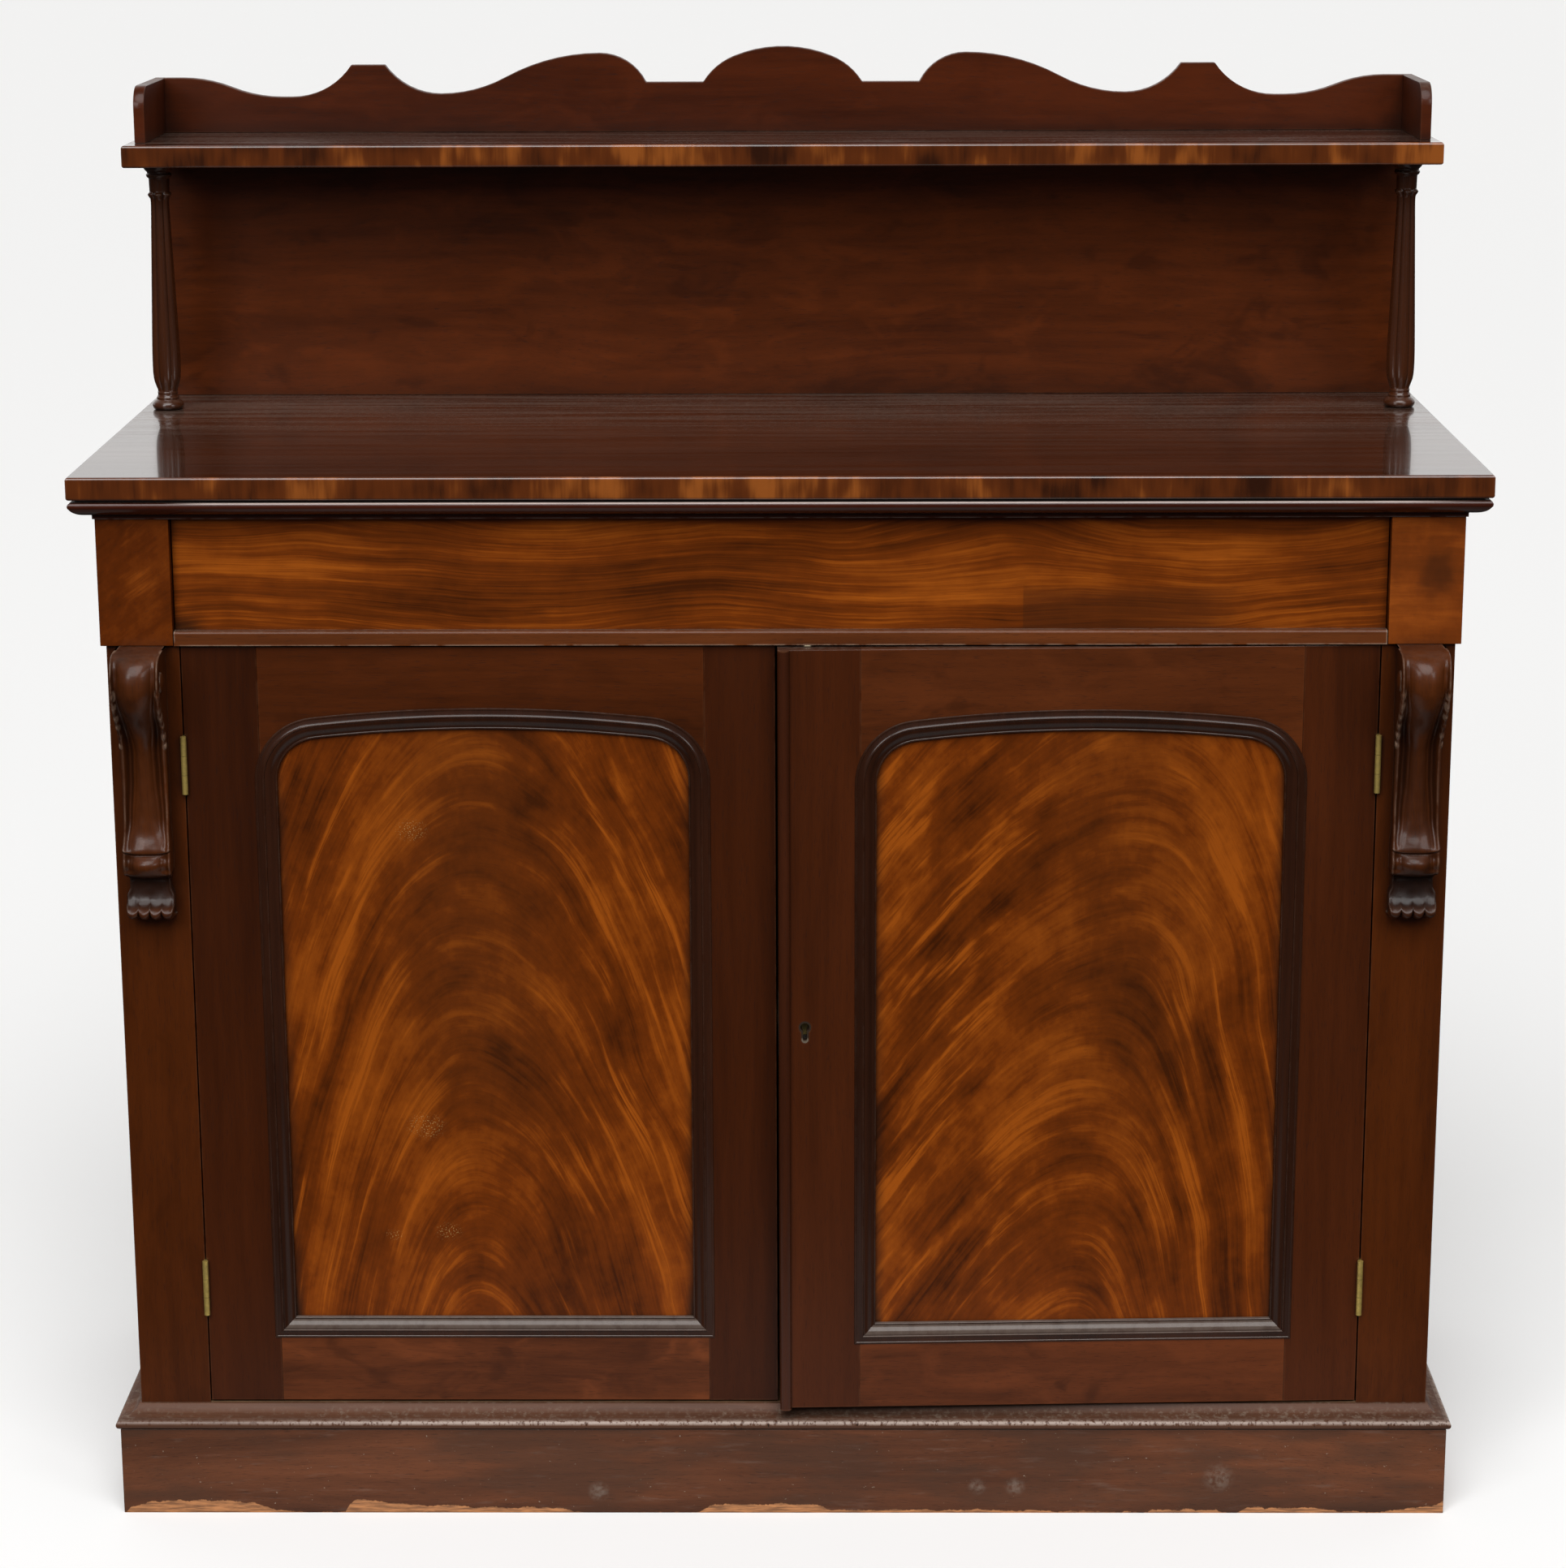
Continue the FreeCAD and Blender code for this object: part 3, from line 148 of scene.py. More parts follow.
class Tree:
    """Shorthand for the nodes that the finishes are made of."""

    def __init__(self, tree):
        self.tree = tree

    def add(self, kind, output=0, settings=(), **inputs):
        node = self.tree.nodes.new("ShaderNode" + kind)
        for name, value in dict(settings).items():
            setattr(node, name, value)
        for name, value in inputs.items():
            feed(self.tree, node.inputs[name.replace("_", " ")], value)
        return Flow(self.tree, node.outputs[output])

    def split(self, vector):
        node = self.tree.nodes.new("ShaderNodeSeparateXYZ")
        feed(self.tree, node.inputs[0], vector)
        return [Flow(self.tree, output) for output in node.outputs]

    def join(self, x, y, z):
        return self.add("CombineXYZ", X=x, Y=y, Z=z)

    def noise(self, x, y, z, detail=2, roughness=0.5, distortion=0):
        return self.add("TexNoise", Vector=self.join(x, y, z), Scale=1, Detail=detail, Roughness=roughness,
                        Distortion=distortion)

    def blend(self, share, low, high, how="MIX"):
        node = self.tree.nodes.new("ShaderNodeMix")
        node.data_type = "RGBA"
        node.blend_type = how
        node.clamp_factor = True
        first, second = (socket for socket in node.inputs if socket.type == "RGBA")
        for socket, value in ((node.inputs[0], share), (first, low), (second, high)):
            feed(self.tree, socket, value)
        return Flow(self.tree, next(socket for socket in node.outputs if socket.type == "RGBA"))

    def coats(self, base, *coats):
        """A colour under coats of (share, colour), laid on in their order."""
        for share, tone in coats:
            base = self.blend(share, base, tone)
        return base

    def effect(self, name, **inputs):
        """A shared effect's outputs, by name."""
        node = self.tree.nodes.new("ShaderNodeGroup")
        node.node_tree = bpy.data.node_groups[name]
        for label, value in inputs.items():
            feed(self.tree, node.inputs[label], value)
        return SimpleNamespace(**{output.name: Flow(self.tree, output) for output in node.outputs})


# ---- effects ----
def timber_grain(t, given):
    """Straight mahogany grain along the vector's X."""
    x, y, z = t.split(given.Vector)
    sway = (t.noise(x * 2.2, y * 5, z * 5 + given.Seed) - 0.5) * given.Wave
    y, z = y + sway, z + sway
    broad = t.noise(x * 1.6 + given.Seed, y * 16, z * 16, 3, 0.55)
    streak = t.noise(x * 7, y * 130 + given.Seed, z * 130, 3, 0.6)
    fibre = t.noise(x * 30, y * 800, z * 800, 2, 0.6)
    pores = t.noise(x * 90, y * 1500, z * 1500, 1).span(0.6, 0.72)
    tone = broad * 0.9 + streak * 0.45 + fibre * 0.18 - 0.28
    return {"Tone": tone.span(0.15, 0.85, smooth=False), "Pores": pores, "Fibre": fibre}


def flame_figure(t, given):
    """Figure of a veneer cut through a fork: arches rising from the middle of the panel's foot."""
    x, y, z = t.split(given.Vector)
    seed = given.Seed
    height = z - given.Foot
    slow = t.noise(x * 3 + seed, seed * 2, z * 3) - 0.5
    ripple = t.noise(x * 13, seed + 5, z * 11) - 0.5
    away = x - given.Middle - height * given.Drift + slow * 0.05
    soft = height * given.Opening + given.Tightness
    rise = (away * away + soft * soft) ** 0.5 - soft
    side = away.math("SIGN")
    level = height + rise * (given.Steepness * (side * given.Lean + 1)) + slow * 0.06 + ripple * 0.01
    along = away * 2 + rise * side * 1.5
    broad = t.noise(level * 10, along * 2.6 + seed, seed, 3, 0.5, 0.4) - 0.5
    bundle = t.noise(level * 27 + seed, along * 4.2, seed + 3, 3, 0.55, 0.35)
    lines = t.noise(level * 165, along * 5 + seed, seed, 3, 0.6, 0.15)
    hair = t.noise(level * 430, along * 14, seed, 2, 0.6)
    mottle = t.noise(x * 38, seed + 7, z * 30, 4, 0.62) - 0.5
    fleck = t.noise(x * 170, seed + 9, z * 120, 2, 0.6) - 0.5
    patch = t.noise(x * 9, seed, z * 7) - 0.5
    pores = t.noise(level * 900, along * 60, seed, 1).span(0.62, 0.74)
    bright = bundle.span(0.5, 0.66) * lines.span(0.4, 0.64) * abs(away).span(0.02, 0.13, 0.45, 1)
    shadow = bundle.span(0.5, 0.34) * lines.span(0.62, 0.38)
    tone = (broad * 0.36 + (bundle - 0.5) * 0.28 + bright * 0.2 - shadow * 0.06 + (lines - 0.5) * 0.1
            + (hair - 0.5) * 0.05 + mottle * 0.26 + fleck * 0.08 + patch * 0.28 + 0.497)
    strokes = bright * hair.span(0.3, 0.7, 0.5, 1)
    return {"Tone": tone.span(0.325, 0.675, smooth=False), "Strokes": strokes, "Pores": pores}


def ribbon_figure(t, given):
    """Long, wavy figure of the frieze veneer, along X."""
    x, y, z = t.split(given.Vector)
    seed = given.Seed
    sway = t.noise(x * 1.9 + seed, 0, z * 3, 2, 0.45) - 0.5
    level = z + sway * 0.17 + (t.noise(x * 8, seed, z * 9) - 0.5) * 0.012
    broad = t.noise(x * 2.6 + seed, 0, level * 24, 3, 0.6, 0.5)
    band = t.noise(x * 3.6, seed, level * 95, 3, 0.62, 0.3)
    hair = t.noise(x * 7, seed + 2, level * 480, 3, 0.7)
    patch = t.noise(x * 6 + seed, 3, z * 12, 3, 0.55)
    mottle = t.noise(x * 60, 5, z * 70, 2, 0.6)
    pores = t.noise(x * 60, seed, level * 900, 1).span(0.62, 0.74)
    tone = broad * 0.62 + band * 0.46 + hair * 0.44 + patch * 0.44 + mottle * 0.1 - 0.53
    strokes = (band * 0.5 + hair * 0.5).span(0.52, 0.68) * patch.span(0.4, 0.65)
    return {"Tone": tone.span(0.3, 0.72, smooth=False), "Strokes": strokes, "Pores": pores}


def wear_marks(t, given):
    """Worn edges, which also paint highlights along arrises; grime and painted shade in corners; dust on
    ledges.
    """
    x, y, z = t.split(given.Vector)
    within = {"samples": 6, "inside": True, "only_local": True}
    # Edges found from inside, in patches: worn edges, which also paint highlights along the arrises.
    inward = t.add("AmbientOcclusion", "AO", within, Distance=given.Edge)
    patchy = t.noise(x * 60, y * 60, z * 60, 3, 0.6)
    # Grime together with painted shade: the less open sky near a corner, the darker.
    open_sky = t.add("AmbientOcclusion", "AO", {"samples": 4}, Distance=given.Corner)
    up = t.split(t.add("NewGeometry", "Normal"))[2].span(given.Ledge, given.Ledge + 0.55)
    speck = t.noise(x * 210, y * 210, z * 210, 3, 0.65)
    cloud = t.noise(x * 6, y * 9, z * 6, 3, 0.6)
    return {
        "Rubbed": inward.span(0.5, 0.92, 1, 0) * patchy.span(0.34, 0.58),
        "Dirt": open_sky.span(0.25, 0.85, 1, 0),
        "Up": up,
        "Dust": up * (cloud * 0.6 + speck * 0.5).span(0.38, 0.72),
        "Cloud": cloud,
        "Speck": speck,
    }


# Each effect's node group: what makes its outputs, and its inputs besides the vector with their defaults.
EFFECTS = {
    "Timber grain": (timber_grain, {"Wave": 0.02, "Seed": 0}),
    "Flame figure": (flame_figure, {
        "Middle": 0, "Foot": 0.17, "Drift": 0, "Steepness": 2.6, "Lean": 0, "Tightness": 0.04,
        "Opening": 0.3, "Seed": 0,
    }),
    "Ribbon figure": (ribbon_figure, {"Seed": 0}),
    "Wear": (wear_marks, {"Edge": 0.0015, "Corner": 0.02, "Ledge": 0.4}),
}


def effect_group(name, make, inputs):
    """Builds a shared effect as a node group whose inputs are a vector and plain values."""
    group = bpy.data.node_groups.new(name, "ShaderNodeTree")
    group.interface.new_socket("Vector", in_out="INPUT", socket_type="NodeSocketVector")
    for label, default in inputs.items():
        socket = group.interface.new_socket(label, in_out="INPUT", socket_type="NodeSocketFloat")
        socket.default_value = default
    start = group.nodes.new("NodeGroupInput")
    given = SimpleNamespace(**{output.name: Flow(group, output) for output in start.outputs if output.name})
    made = make(Tree(group), given)
    for label in made:
        group.interface.new_socket(label, in_out="OUTPUT", socket_type="NodeSocketFloat")
    finish = group.nodes.new("NodeGroupOutput")
    for label, value in made.items():
        feed(group, finish.inputs[label], value)


# ---- finishes ----
def begin(name):
    """A new material's tree, and the place on the piece."""
    material = bpy.data.materials.new(name)
    material.use_nodes = True
    t = Tree(material.node_tree)
    return t, t.add("TexCoord", "Object")


def grain_vector(t, place, along):
    """The place, turned so that the grain runs along X."""
    x, y, z = t.split(place)
    return t.join(*{"X": (x, y, z), "Y": (y, x, z), "Z": (z, x, y)}[along])


def begin_wood(name, along, wave, seed, **wear):
    """A new wooden material's tree, place, grain and wear."""
    t, place = begin(name)
    grain = t.effect("Timber grain", Vector=grain_vector(t, place, along), Wave=wave, Seed=seed)
    return t, place, grain, t.effect("Wear", Vector=place, **wear)


def end(t, base, roughness, height=None, bump=0, distance=0, coat=(0, 0.03), specular=0.5, metallic=0):
    """Ends a material with its Principled shader. A height gives relief; the coat is weight, roughness."""
    node = t.tree.nodes["Principled BSDF"]
    node.inputs["Coat Weight"].default_value, node.inputs["Coat Roughness"].default_value = coat
    node.inputs["Specular IOR Level"].default_value = specular
    feed(t.tree, node.inputs["Base Color"], base)
    feed(t.tree, node.inputs["Roughness"], roughness)
    feed(t.tree, node.inputs["Metallic"], metallic)
    if height is not None:
        raised = t.add("Bump", "Normal", Strength=bump, Distance=distance, Height=height)
        feed(t.tree, node.inputs["Normal"], raised)


def tinted(tone):
    """A solid timber's colour with the tint of the settings."""
    return tuple(part * tint for part, tint in zip(tone, looks().timber_tint))


def timber(name, along, dark, light, seed, wave=0.02, rough=0.33, dust=0.3, grime_and_shade=0.75, rub_and_highlight=0.35, coat=0.12,
           specular=0.15, mottle=0, corner=0.025, ledge=0.4, edge=0.0018, worn=(0.14, 0.055, 0.024),
           shade=None, uneven=0):
    """Polished solid mahogany with its grain along one axis."""
    t, place, grain, wear = begin_wood(name, along, wave, seed, Edge=edge, Corner=corner, Ledge=ledge)
    dark, light = tinted(dark), tinted(light)
    base = t.blend(grain.Tone, dark, light)
    if mottle:
        x, y, z = t.split(grain_vector(t, place, along))
        cloud = t.noise(x * 14 + seed, y * 30, z * 30, 3, 0.6, 0.6)
        pale, deep = cloud.span(0.5, 0.7), cloud.span(0.46, 0.3)
        base = t.coats(base, (pale * mottle, light), (deep * mottle, dark))
    # Pores, grime with painted shade in the corners, the worn colour on edges, partly a painted highlight,
    # and dust.
    base = t.coats(base, (grain.Pores * 0.35, PORE), (wear.Dirt * grime_and_shade, GRIME_AND_SHADE), (wear.Rubbed * rub_and_highlight, worn),
                   (wear.Dust * dust, looks().dust))
    if shade:
        base = shade(t, *t.split(place), base)
    roughness = wear.Cloud * 0.12 + wear.Dust * dust * 0.4 + grain.Pores * 0.1 + rough - 0.06
    height = grain.Fibre * 0.25 - grain.Pores * 0.6
    if uneven:
        x, y, z = t.split(place)
        height = height + t.noise(x * 130, y * 130, z * 90, 3, 0.6) * uneven
    end(t, base, roughness, height, 0.12, 0.0002, (coat, 0.12), specular)


def veneer(name, figure, seed, dark=None, mid=None, light=None, shade=None, **sizes):
    """Polished veneer of one of the figured effects."""
    t, place = begin(name)
    made = t.effect(figure, Vector=place, Seed=seed, **sizes)
    wear = t.effect("Wear", Vector=place, Edge=0.001, Corner=0.03)
    dark, mid, light = dark or looks().veneer_dark, mid or looks().veneer_mid, light or looks().veneer_light
    base = t.blend(made.Tone.span(0, 0.55, smooth=False), dark, mid)
    base = t.coats(base, (made.Tone.span(0.5, 1, smooth=False) * 0.75, light), (made.Strokes * 0.5, light),
                   (made.Pores * 0.25, (0.02, 0.006, 0.002)))
    if shade:
        base = shade(t, *t.split(place), base)
    # Grime and painted shade in the corners of the veneer.
    base = t.blend(wear.Dirt * 0.6, base, (0.008, 0.004, 0.002))
    roughness = wear.Cloud * 0.12 + made.Pores * 0.08 + 0.24
    end(t, base, roughness, made.Pores * -1, 0.08, 0.0002, (0.1, 0.1), 0.12)


def board_top(name, front, dust, seed):
    """French-polished board with short grain up and down on its narrow front edge."""
    t, place, grain, wear = begin_wood(name, "X", 0.05, seed, Edge=0.002, Corner=0.04)
    x, y, z = t.split(place)
    base = t.blend(grain.Tone, (0.0175, 0.0037, 0.0009), (0.065, 0.0138, 0.0028))
    base = t.blend(grain.Pores * 0.3, base, PORE)
    broad = t.noise(x * 19, 1, z * 12, 2, 0.6)
    fine = t.noise(x * 150, 2, z * 14, 3, 0.6)
    tone = (broad * 0.9 + fine * 0.28 - 0.11).span(0.28, 0.66, smooth=False)
    band = t.blend(tone.span(0, 0.6), (0.026, 0.0065, 0.002), (0.098, 0.0225, 0.004))
    band = t.blend(tone.span(0.55, 1), band, (0.27, 0.075, 0.012))
    streaks = t.noise(x * 3, y * 70, 0, 3, 0.6).span(0.3, 0.66)
    up = wear.Up * y.span(front + 0.015, front + 0.02)
    settled = (streaks * 0.7 + wear.Speck.span(0.45, 0.7) * 0.3) * dust * up
    settled = settled * y.span(front + 0.1, front + 0.47, 0.2, 1)
    # Grime with painted shade in the corners, and a worn colour on the edges that is partly a painted
    # highlight.
    base = t.coats(base, (y.span(front + 0.003, front + 0.0016), band), (wear.Dirt * 0.7, GRIME_AND_SHADE),
                   (wear.Rubbed * 0.45, (0.2, 0.1, 0.06)), (settled, looks().dust))
    roughness = wear.Cloud * 0.1 + settled * 0.5 + 0.1
    end(t, base, roughness, grain.Fibre * 0.2 - grain.Pores, 0.05, 0.0001, (0.7, 0.05), 0.4)


# Where the plinth is chipped along the floor: distance from the middle, height of the bare wood, in metres.
PLINTH_CHIPS = (
    (-0.606, 0), (-0.596, 0.0055), (-0.572, 0.0105), (-0.54, 0.0125), (-0.505, 0.0115), (-0.478, 0.008),
    (-0.455, 0.002), (-0.43, 0.0005), (-0.4, 0.0005), (-0.392, 0.013), (-0.36, 0.01), (-0.3, 0.0065),
    (-0.2, 0.004), (-0.18, 0), (-0.08, 0), (-0.07, 0.006), (-0.03, 0.009), (0.03, 0.0075),
    (0.05, 0.0035), (0.2, 0.0025), (0.33, 0.001), (0.345, 0.0035), (0.395, 0.003), (0.41, 0),
    (0.425, 0.005), (0.48, 0.005), (0.52, 0.0015),
)
# The reach to either side and the height that the curve of the chips is drawn over.
CHIP_REACH = 0.61
CHIP_TALL = 0.02
# Pale smudges on the plinth: distance from the middle, height and radius, in metres.
PLINTH_SMUDGES = ((0.177, 0.026, 0.01), (0.212, 0.026, 0.011), (0.397, 0.035, 0.017), (-0.168, 0.021, 0.012))


def plinth_finish():
    """Scuffed mahogany, chipped to bare wood along the floor."""
    t, place, grain, wear = begin_wood("plinth_timber", "X", 0.06, 21, Edge=0.002, Corner=0.03)
    x, y, z = t.split(place)
    scuff = t.noise(x * 25, y * 25, z * 190, 4, 0.65).span(0.56, 0.78)
    nicks = t.noise(x * 260, y * 260, z * 420, 2, 0.6).span(0.73, 0.77)
    stain = t.noise(x * 7, y * 7, z * 26, 3, 0.6).span(0.42, 0.62)
    base = t.blend(grain.Tone, (0.047, 0.015, 0.0061), (0.178, 0.0575, 0.0228))
    base = t.coats(base, (grain.Pores * 0.4, (0.008, 0.003, 0.002)), (scuff * 0.3, (0.2, 0.13, 0.1)),
                   (nicks * 0.8, (0.42, 0.34, 0.27)), (stain * 0.5, (0.05, 0.024, 0.014)))
    for smudge_x, smudge_z, radius in PLINTH_SMUDGES:
        away = ((x - smudge_x) ** 2 + (z - smudge_z) ** 2) ** 0.5
        smudge = away.span(radius * 0.2, radius, 1, 0) * wear.Speck.span(0.3, 0.66)
        base = t.blend(smudge * 0.24, base, (0.36, 0.31, 0.26))
    ragged = t.noise(x * 70, y * 70, z * 30, 4, 0.7) - 0.5
    curve = t.tree.nodes.new("ShaderNodeFloatCurve")
    for chip_x, tall in PLINTH_CHIPS:
        curve.mapping.curves[0].points.new((chip_x + CHIP_REACH) / (2 * CHIP_REACH), tall / CHIP_TALL)
    curve.mapping.update()
    feed(t.tree, curve.inputs["Value"], x.span(-CHIP_REACH, CHIP_REACH, smooth=False))
    chip = Flow(t.tree, curve.outputs[0]) * CHIP_TALL + ragged * 0.009
    bare = (z - chip).span(-0.0005, 0.0005, 1, 0)
    torn = t.noise(x * 40, y * 40, z * 500, 3, 0.65).span(0.35, 0.65)
    wood = t.blend(torn, (0.19, 0.085, 0.04), looks().raw_wood)
    # Grime and painted shade in the corners.
    base = t.coats(base, (wear.Dirt * 0.6, (0.008, 0.005, 0.004)), (bare, wood),
                   (wear.Dust * 0.6, looks().dust))
    roughness = scuff * 0.15 + bare * 0.35 + wear.Cloud * 0.15 + 0.36
    height = grain.Fibre * 0.3 - grain.Pores * 0.5 - bare * 2 - scuff * 0.3
    end(t, base, roughness, height, 0.25, 0.0005, (0.05, 0.3), 0.25)


def plinth_moulding_finish():
    """Hollow with dust, grime and painted shade over a nicked bead, whose pale crown is wear and painted
    highlight.
    """
    t, place, grain, wear = begin_wood("plinth_moulding_timber", "X", 0.04, 27, Edge=0.0018, Corner=0.016)
    x, y, z = t.split(place)
    # The bead's crown: a painted highlight, partly rubbed wear, broken by nicks and brighter away from the
    # left end.
    bead = z.span(0.09, 0.0918, 1, 0)
    crown = z.span(0.0866, 0.0892) * bead
    nick = t.noise(x * 260, y * 260, z * 90, 3, 0.7)
    length_wise = t.noise(x * 3.5 + 2, y * 3.5, 0, 3, 0.6) * x.span(-0.56, -0.36, 0.45, 1)
    pale = crown * nick.span(0.62, 0.5) * length_wise.span(0.25, 0.55, 0.25, 1)
    base = t.blend(grain.Tone, (0.034, 0.013, 0.007), (0.136, 0.056, 0.029))
    # Dust, grime and painted shade in the hollow; the pale line on the bead's crown.
    base = t.coats(base, (wear.Speck.span(0.45, 0.7) * wear.Dust * 0.9, (0.16, 0.11, 0.08)),
                   (wear.Dirt * 0.8, (0.014, 0.008, 0.005)), (pale * 0.7, (0.42, 0.33, 0.28)),
                   (nick.span(0.66, 0.72) * bead, (0.012, 0.008, 0.006)))
    end(t, base, bead * -0.28 + wear.Cloud * 0.1 + 0.52, nick * -1, 0.2, 0.0004, specular=0.25)


def carcass_finish():
    """Unpolished secondary wood inside and behind."""
    t, place, grain, wear = begin_wood("plain_carcass", "Z", 0.05, 40, Edge=0.001, Corner=0.05)
    base = t.blend(grain.Tone, (0.09, 0.042, 0.018), (0.3, 0.17, 0.085))
    # The last of the coats is grime with painted shade in the corners.
    base = t.coats(base, (grain.Pores * 0.3, (0.03, 0.015, 0.008)),
                   (wear.Cloud.span(0.45, 0.75) * 0.4, (0.06, 0.034, 0.018)),
                   (wear.Dirt * 0.5, (0.02, 0.012, 0.008)))
    end(t, base, wear.Cloud * 0.1 + 0.6, grain.Fibre * 0.5 - grain.Pores, 0.25, 0.0004, specular=0.2)


def metal_finish(name, clean, dull, slots=()):
    """Old brass or iron, tarnished in patches. Slots are the heights of the cuts across screw heads."""
    t, place = begin(name)
    wear = t.effect("Wear", Vector=place, Edge=0.0006, Corner=0.008)
    tarnish = (wear.Cloud * 0.6 + wear.Speck * 0.5).span(0.35, 0.75)
    base = t.coats(clean, (tarnish * 0.7, dull), (wear.Dirt * 0.7, (0.03, 0.02, 0.01)))
    for height in slots:
        cut = abs(t.split(place)[2] - height).span(0.00025, 0.0004, 1, 0)
        base = t.blend(cut, base, (0.012, 0.008, 0.005))
    end(t, base, tarnish * 0.25 + 0.28, wear.Speck, 0.08, 0.0001, metallic=wear.Dirt * -0.3 + 0.7)


def key_plate_finish():
    """Dark let-in rim of the keyhole with its foot worn bright."""
    t, place = begin("key_plate_brass")
    wear = t.effect("Wear", Vector=place, Edge=0.0004, Corner=0.006)
    worn = t.split(place)[2].span(0.456, 0.452)
    base = t.blend(worn, (0.03, 0.017, 0.009), (0.34, 0.27, 0.2))
    base = t.blend(wear.Speck.span(0.5, 0.8) * 0.5, base, (0.05, 0.03, 0.018))
    end(t, base, worn * -0.15 + 0.45, wear.Speck, 0.1, 0.0001, metallic=worn * 0.4 + 0.3)


# ---- shapes ----
def skin(across, along, place):
    """A closed mesh from a flat grid, whose points go where place(u, v) says; u and v run from 0 to 1."""
    bm = bmesh.new()
    bmesh.ops.create_grid(bm, x_segments=across, y_segments=along, size=0.5)
    for vert in bm.verts:
        vert.co = place(vert.co.x + 0.5, vert.co.y + 0.5)
    bmesh.ops.remove_doubles(bm, verts=bm.verts, dist=1e-6)
    bmesh.ops.holes_fill(bm, edges=[edge for edge in bm.edges if edge.is_boundary], sides=0)
    return bm


def along_line(points, share):
    """The point a share of the way along a smooth line through the points, by their number."""
    last = len(points) - 1
    at = min(max(share, 0), 1) * last
    index = min(int(at), last - 1)
    part = at - index
    near = [Vector(points[min(max(index + step, 0), last)]) for step in (-1, 0, 1, 2)]
    a = near[1] * 2
    b = near[2] - near[0]
    c = near[0] * 2 - near[1] * 5 + near[2] * 4 - near[3]
    d = near[1] * 3 - near[0] - near[2] * 3 + near[3]
    return (a + b * part + c * part ** 2 + d * part ** 3) * 0.5


def step_value(pairs, at):
    """A value read from (place, value) pairs in rising order, with eased steps between them."""
    if at <= pairs[0][0]:
        return pairs[0][1]
    for (low, first), (high, second) in zip(pairs, pairs[1:]):
        if at <= high:
            part = (at - low) / (high - low)
            return first + (second - first) * part * part * (3 - 2 * part)
    return pairs[-1][1]


def ball(bm, across, up, radius, scale, place):
    """A small ball, stretched by scale, at a place in the mesh."""
    verts = bmesh.ops.create_uvsphere(bm, u_segments=across, v_segments=up, radius=radius * MM)["verts"]
    bmesh.ops.scale(bm, vec=scale, verts=verts)
    bmesh.ops.translate(bm, vec=place, verts=verts)


def mirrored(bm):
    """Adds the same shape on the other side of the middle."""
    bmesh.ops.mirror(bm, geom=bm.verts[:] + bm.edges[:] + bm.faces[:], axis="X", merge_dist=-1)
    return bm


def swung(bm):
    """Turns a shape with the right door, which stands a little open."""
    bmesh.ops.rotate(bm, verts=bm.verts, cent=HINGE_PIN, matrix=Matrix.Rotation(AJAR, 3, "Z"))


def piece(name, bm, body, finish, replaced=(), sharp=35):
    """A finished mesh piece that rides on a body; edges sharper than the angle stay crisp."""
    bmesh.ops.recalc_face_normals(bm, faces=bm.faces)
    mesh = bpy.data.meshes.new(name)
    bm.to_mesh(mesh)
    bm.free()
    mesh.shade_smooth()
    mesh.set_sharp_from_angle(angle=math.radians(sharp))
    mesh.materials.append(bpy.data.materials[finish])
    made = bpy.data.objects.new(name, mesh)
    bpy.context.scene.collection.objects.link(made)
    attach(made, body)
    if replaced:
        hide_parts(*replaced)


# ---- corbels ----
# Everything about the corbels is in millimetres, with heights as distances below the frieze.
CORBEL_MIDDLE = 553.75
CORBEL_TALL = 245
KNOT_TOP = 182
KNOT_FOOT = 201
TOES_TOP = 224
# The carved front, from the frieze down: distance past the pilaster and height.
CORBEL_LINE = (
    (0, 0), (16, 0), (31, 0), (41, 0.9), (49, 4), (55, 9.4), (58.8, 17), (60, 26), (58.6, 36),
    (54.4, 46), (47.6, 55), (39.6, 63.5), (33, 72), (28.4, 81), (25.6, 92), (24.2, 106), (23.8, 122),
    (24, 138), (24.8, 152), (26.6, 164), (29.4, 172.6), (31, 177), (31, 180), (28.8, 182), (30.8, 184),
    (33.8, 186.8), (35.4, 190.4), (34.6, 194.4), (31.4, 198), (26.8, 200.8), (22, 202.8), (18, 204.8),
    (15.2, 208), (14.4, 212), (14.6, 217), (15.3, 222), (17, 226.4), (20.2, 230.2), (24.2, 232.8),
    (26.8, 235.6), (26.4, 238.8), (22.6, 241.4), (15, 243.4), (8, 244.6), (0, CORBEL_TALL),
)
# By height: half the width, the share of the front that the middle rib takes, how far the rib falls to its
# edges, the depth of the flutes beside it and the lift of the outer rims.
CORBEL_HALF = (
    (0, 21), (60, 20.9), (95, 19.8), (160, 19.9), (180, 20.9), (200, 20.9), (207, 18), (215, 18.2),
    (223, 21), (245, 20.4),
)
CORBEL_RIB = (
    (0, 0.74), (30, 0.68), (60, 0.5), (90, 0.37), (115, 0.4), (150, 0.54), (172, 0.66), (182, 0.6),
    (245, 0.7),
)
CORBEL_CROWN = (
    (0, 2.5), (18, 7.5), (40, 8), (70, 6.2), (110, 5), (150, 4.4), (170, 3), (181, 1.6), (187, 6),
    (195, 6.4), (201, 2.2), (206, 1.2), (216, 1.6), (230, 1.2), (245, 2),
)
CORBEL_FLUTE = (
    (0, 0.3), (20, 1.4), (45, 3.4), (70, 5.2), (110, 5), (150, 3.4), (172, 1.4), (180, 0.4), (188, 2),
    (196, 1.6), (202, 0.3), (245, 0.3),
)
CORBEL_RIM = (
    (0, 1.5), (20, 3.2), (50, 3.4), (80, 2.6), (150, 1.6), (176, 0.4), (184, 1.4), (200, 0.8), (245, 0),
)
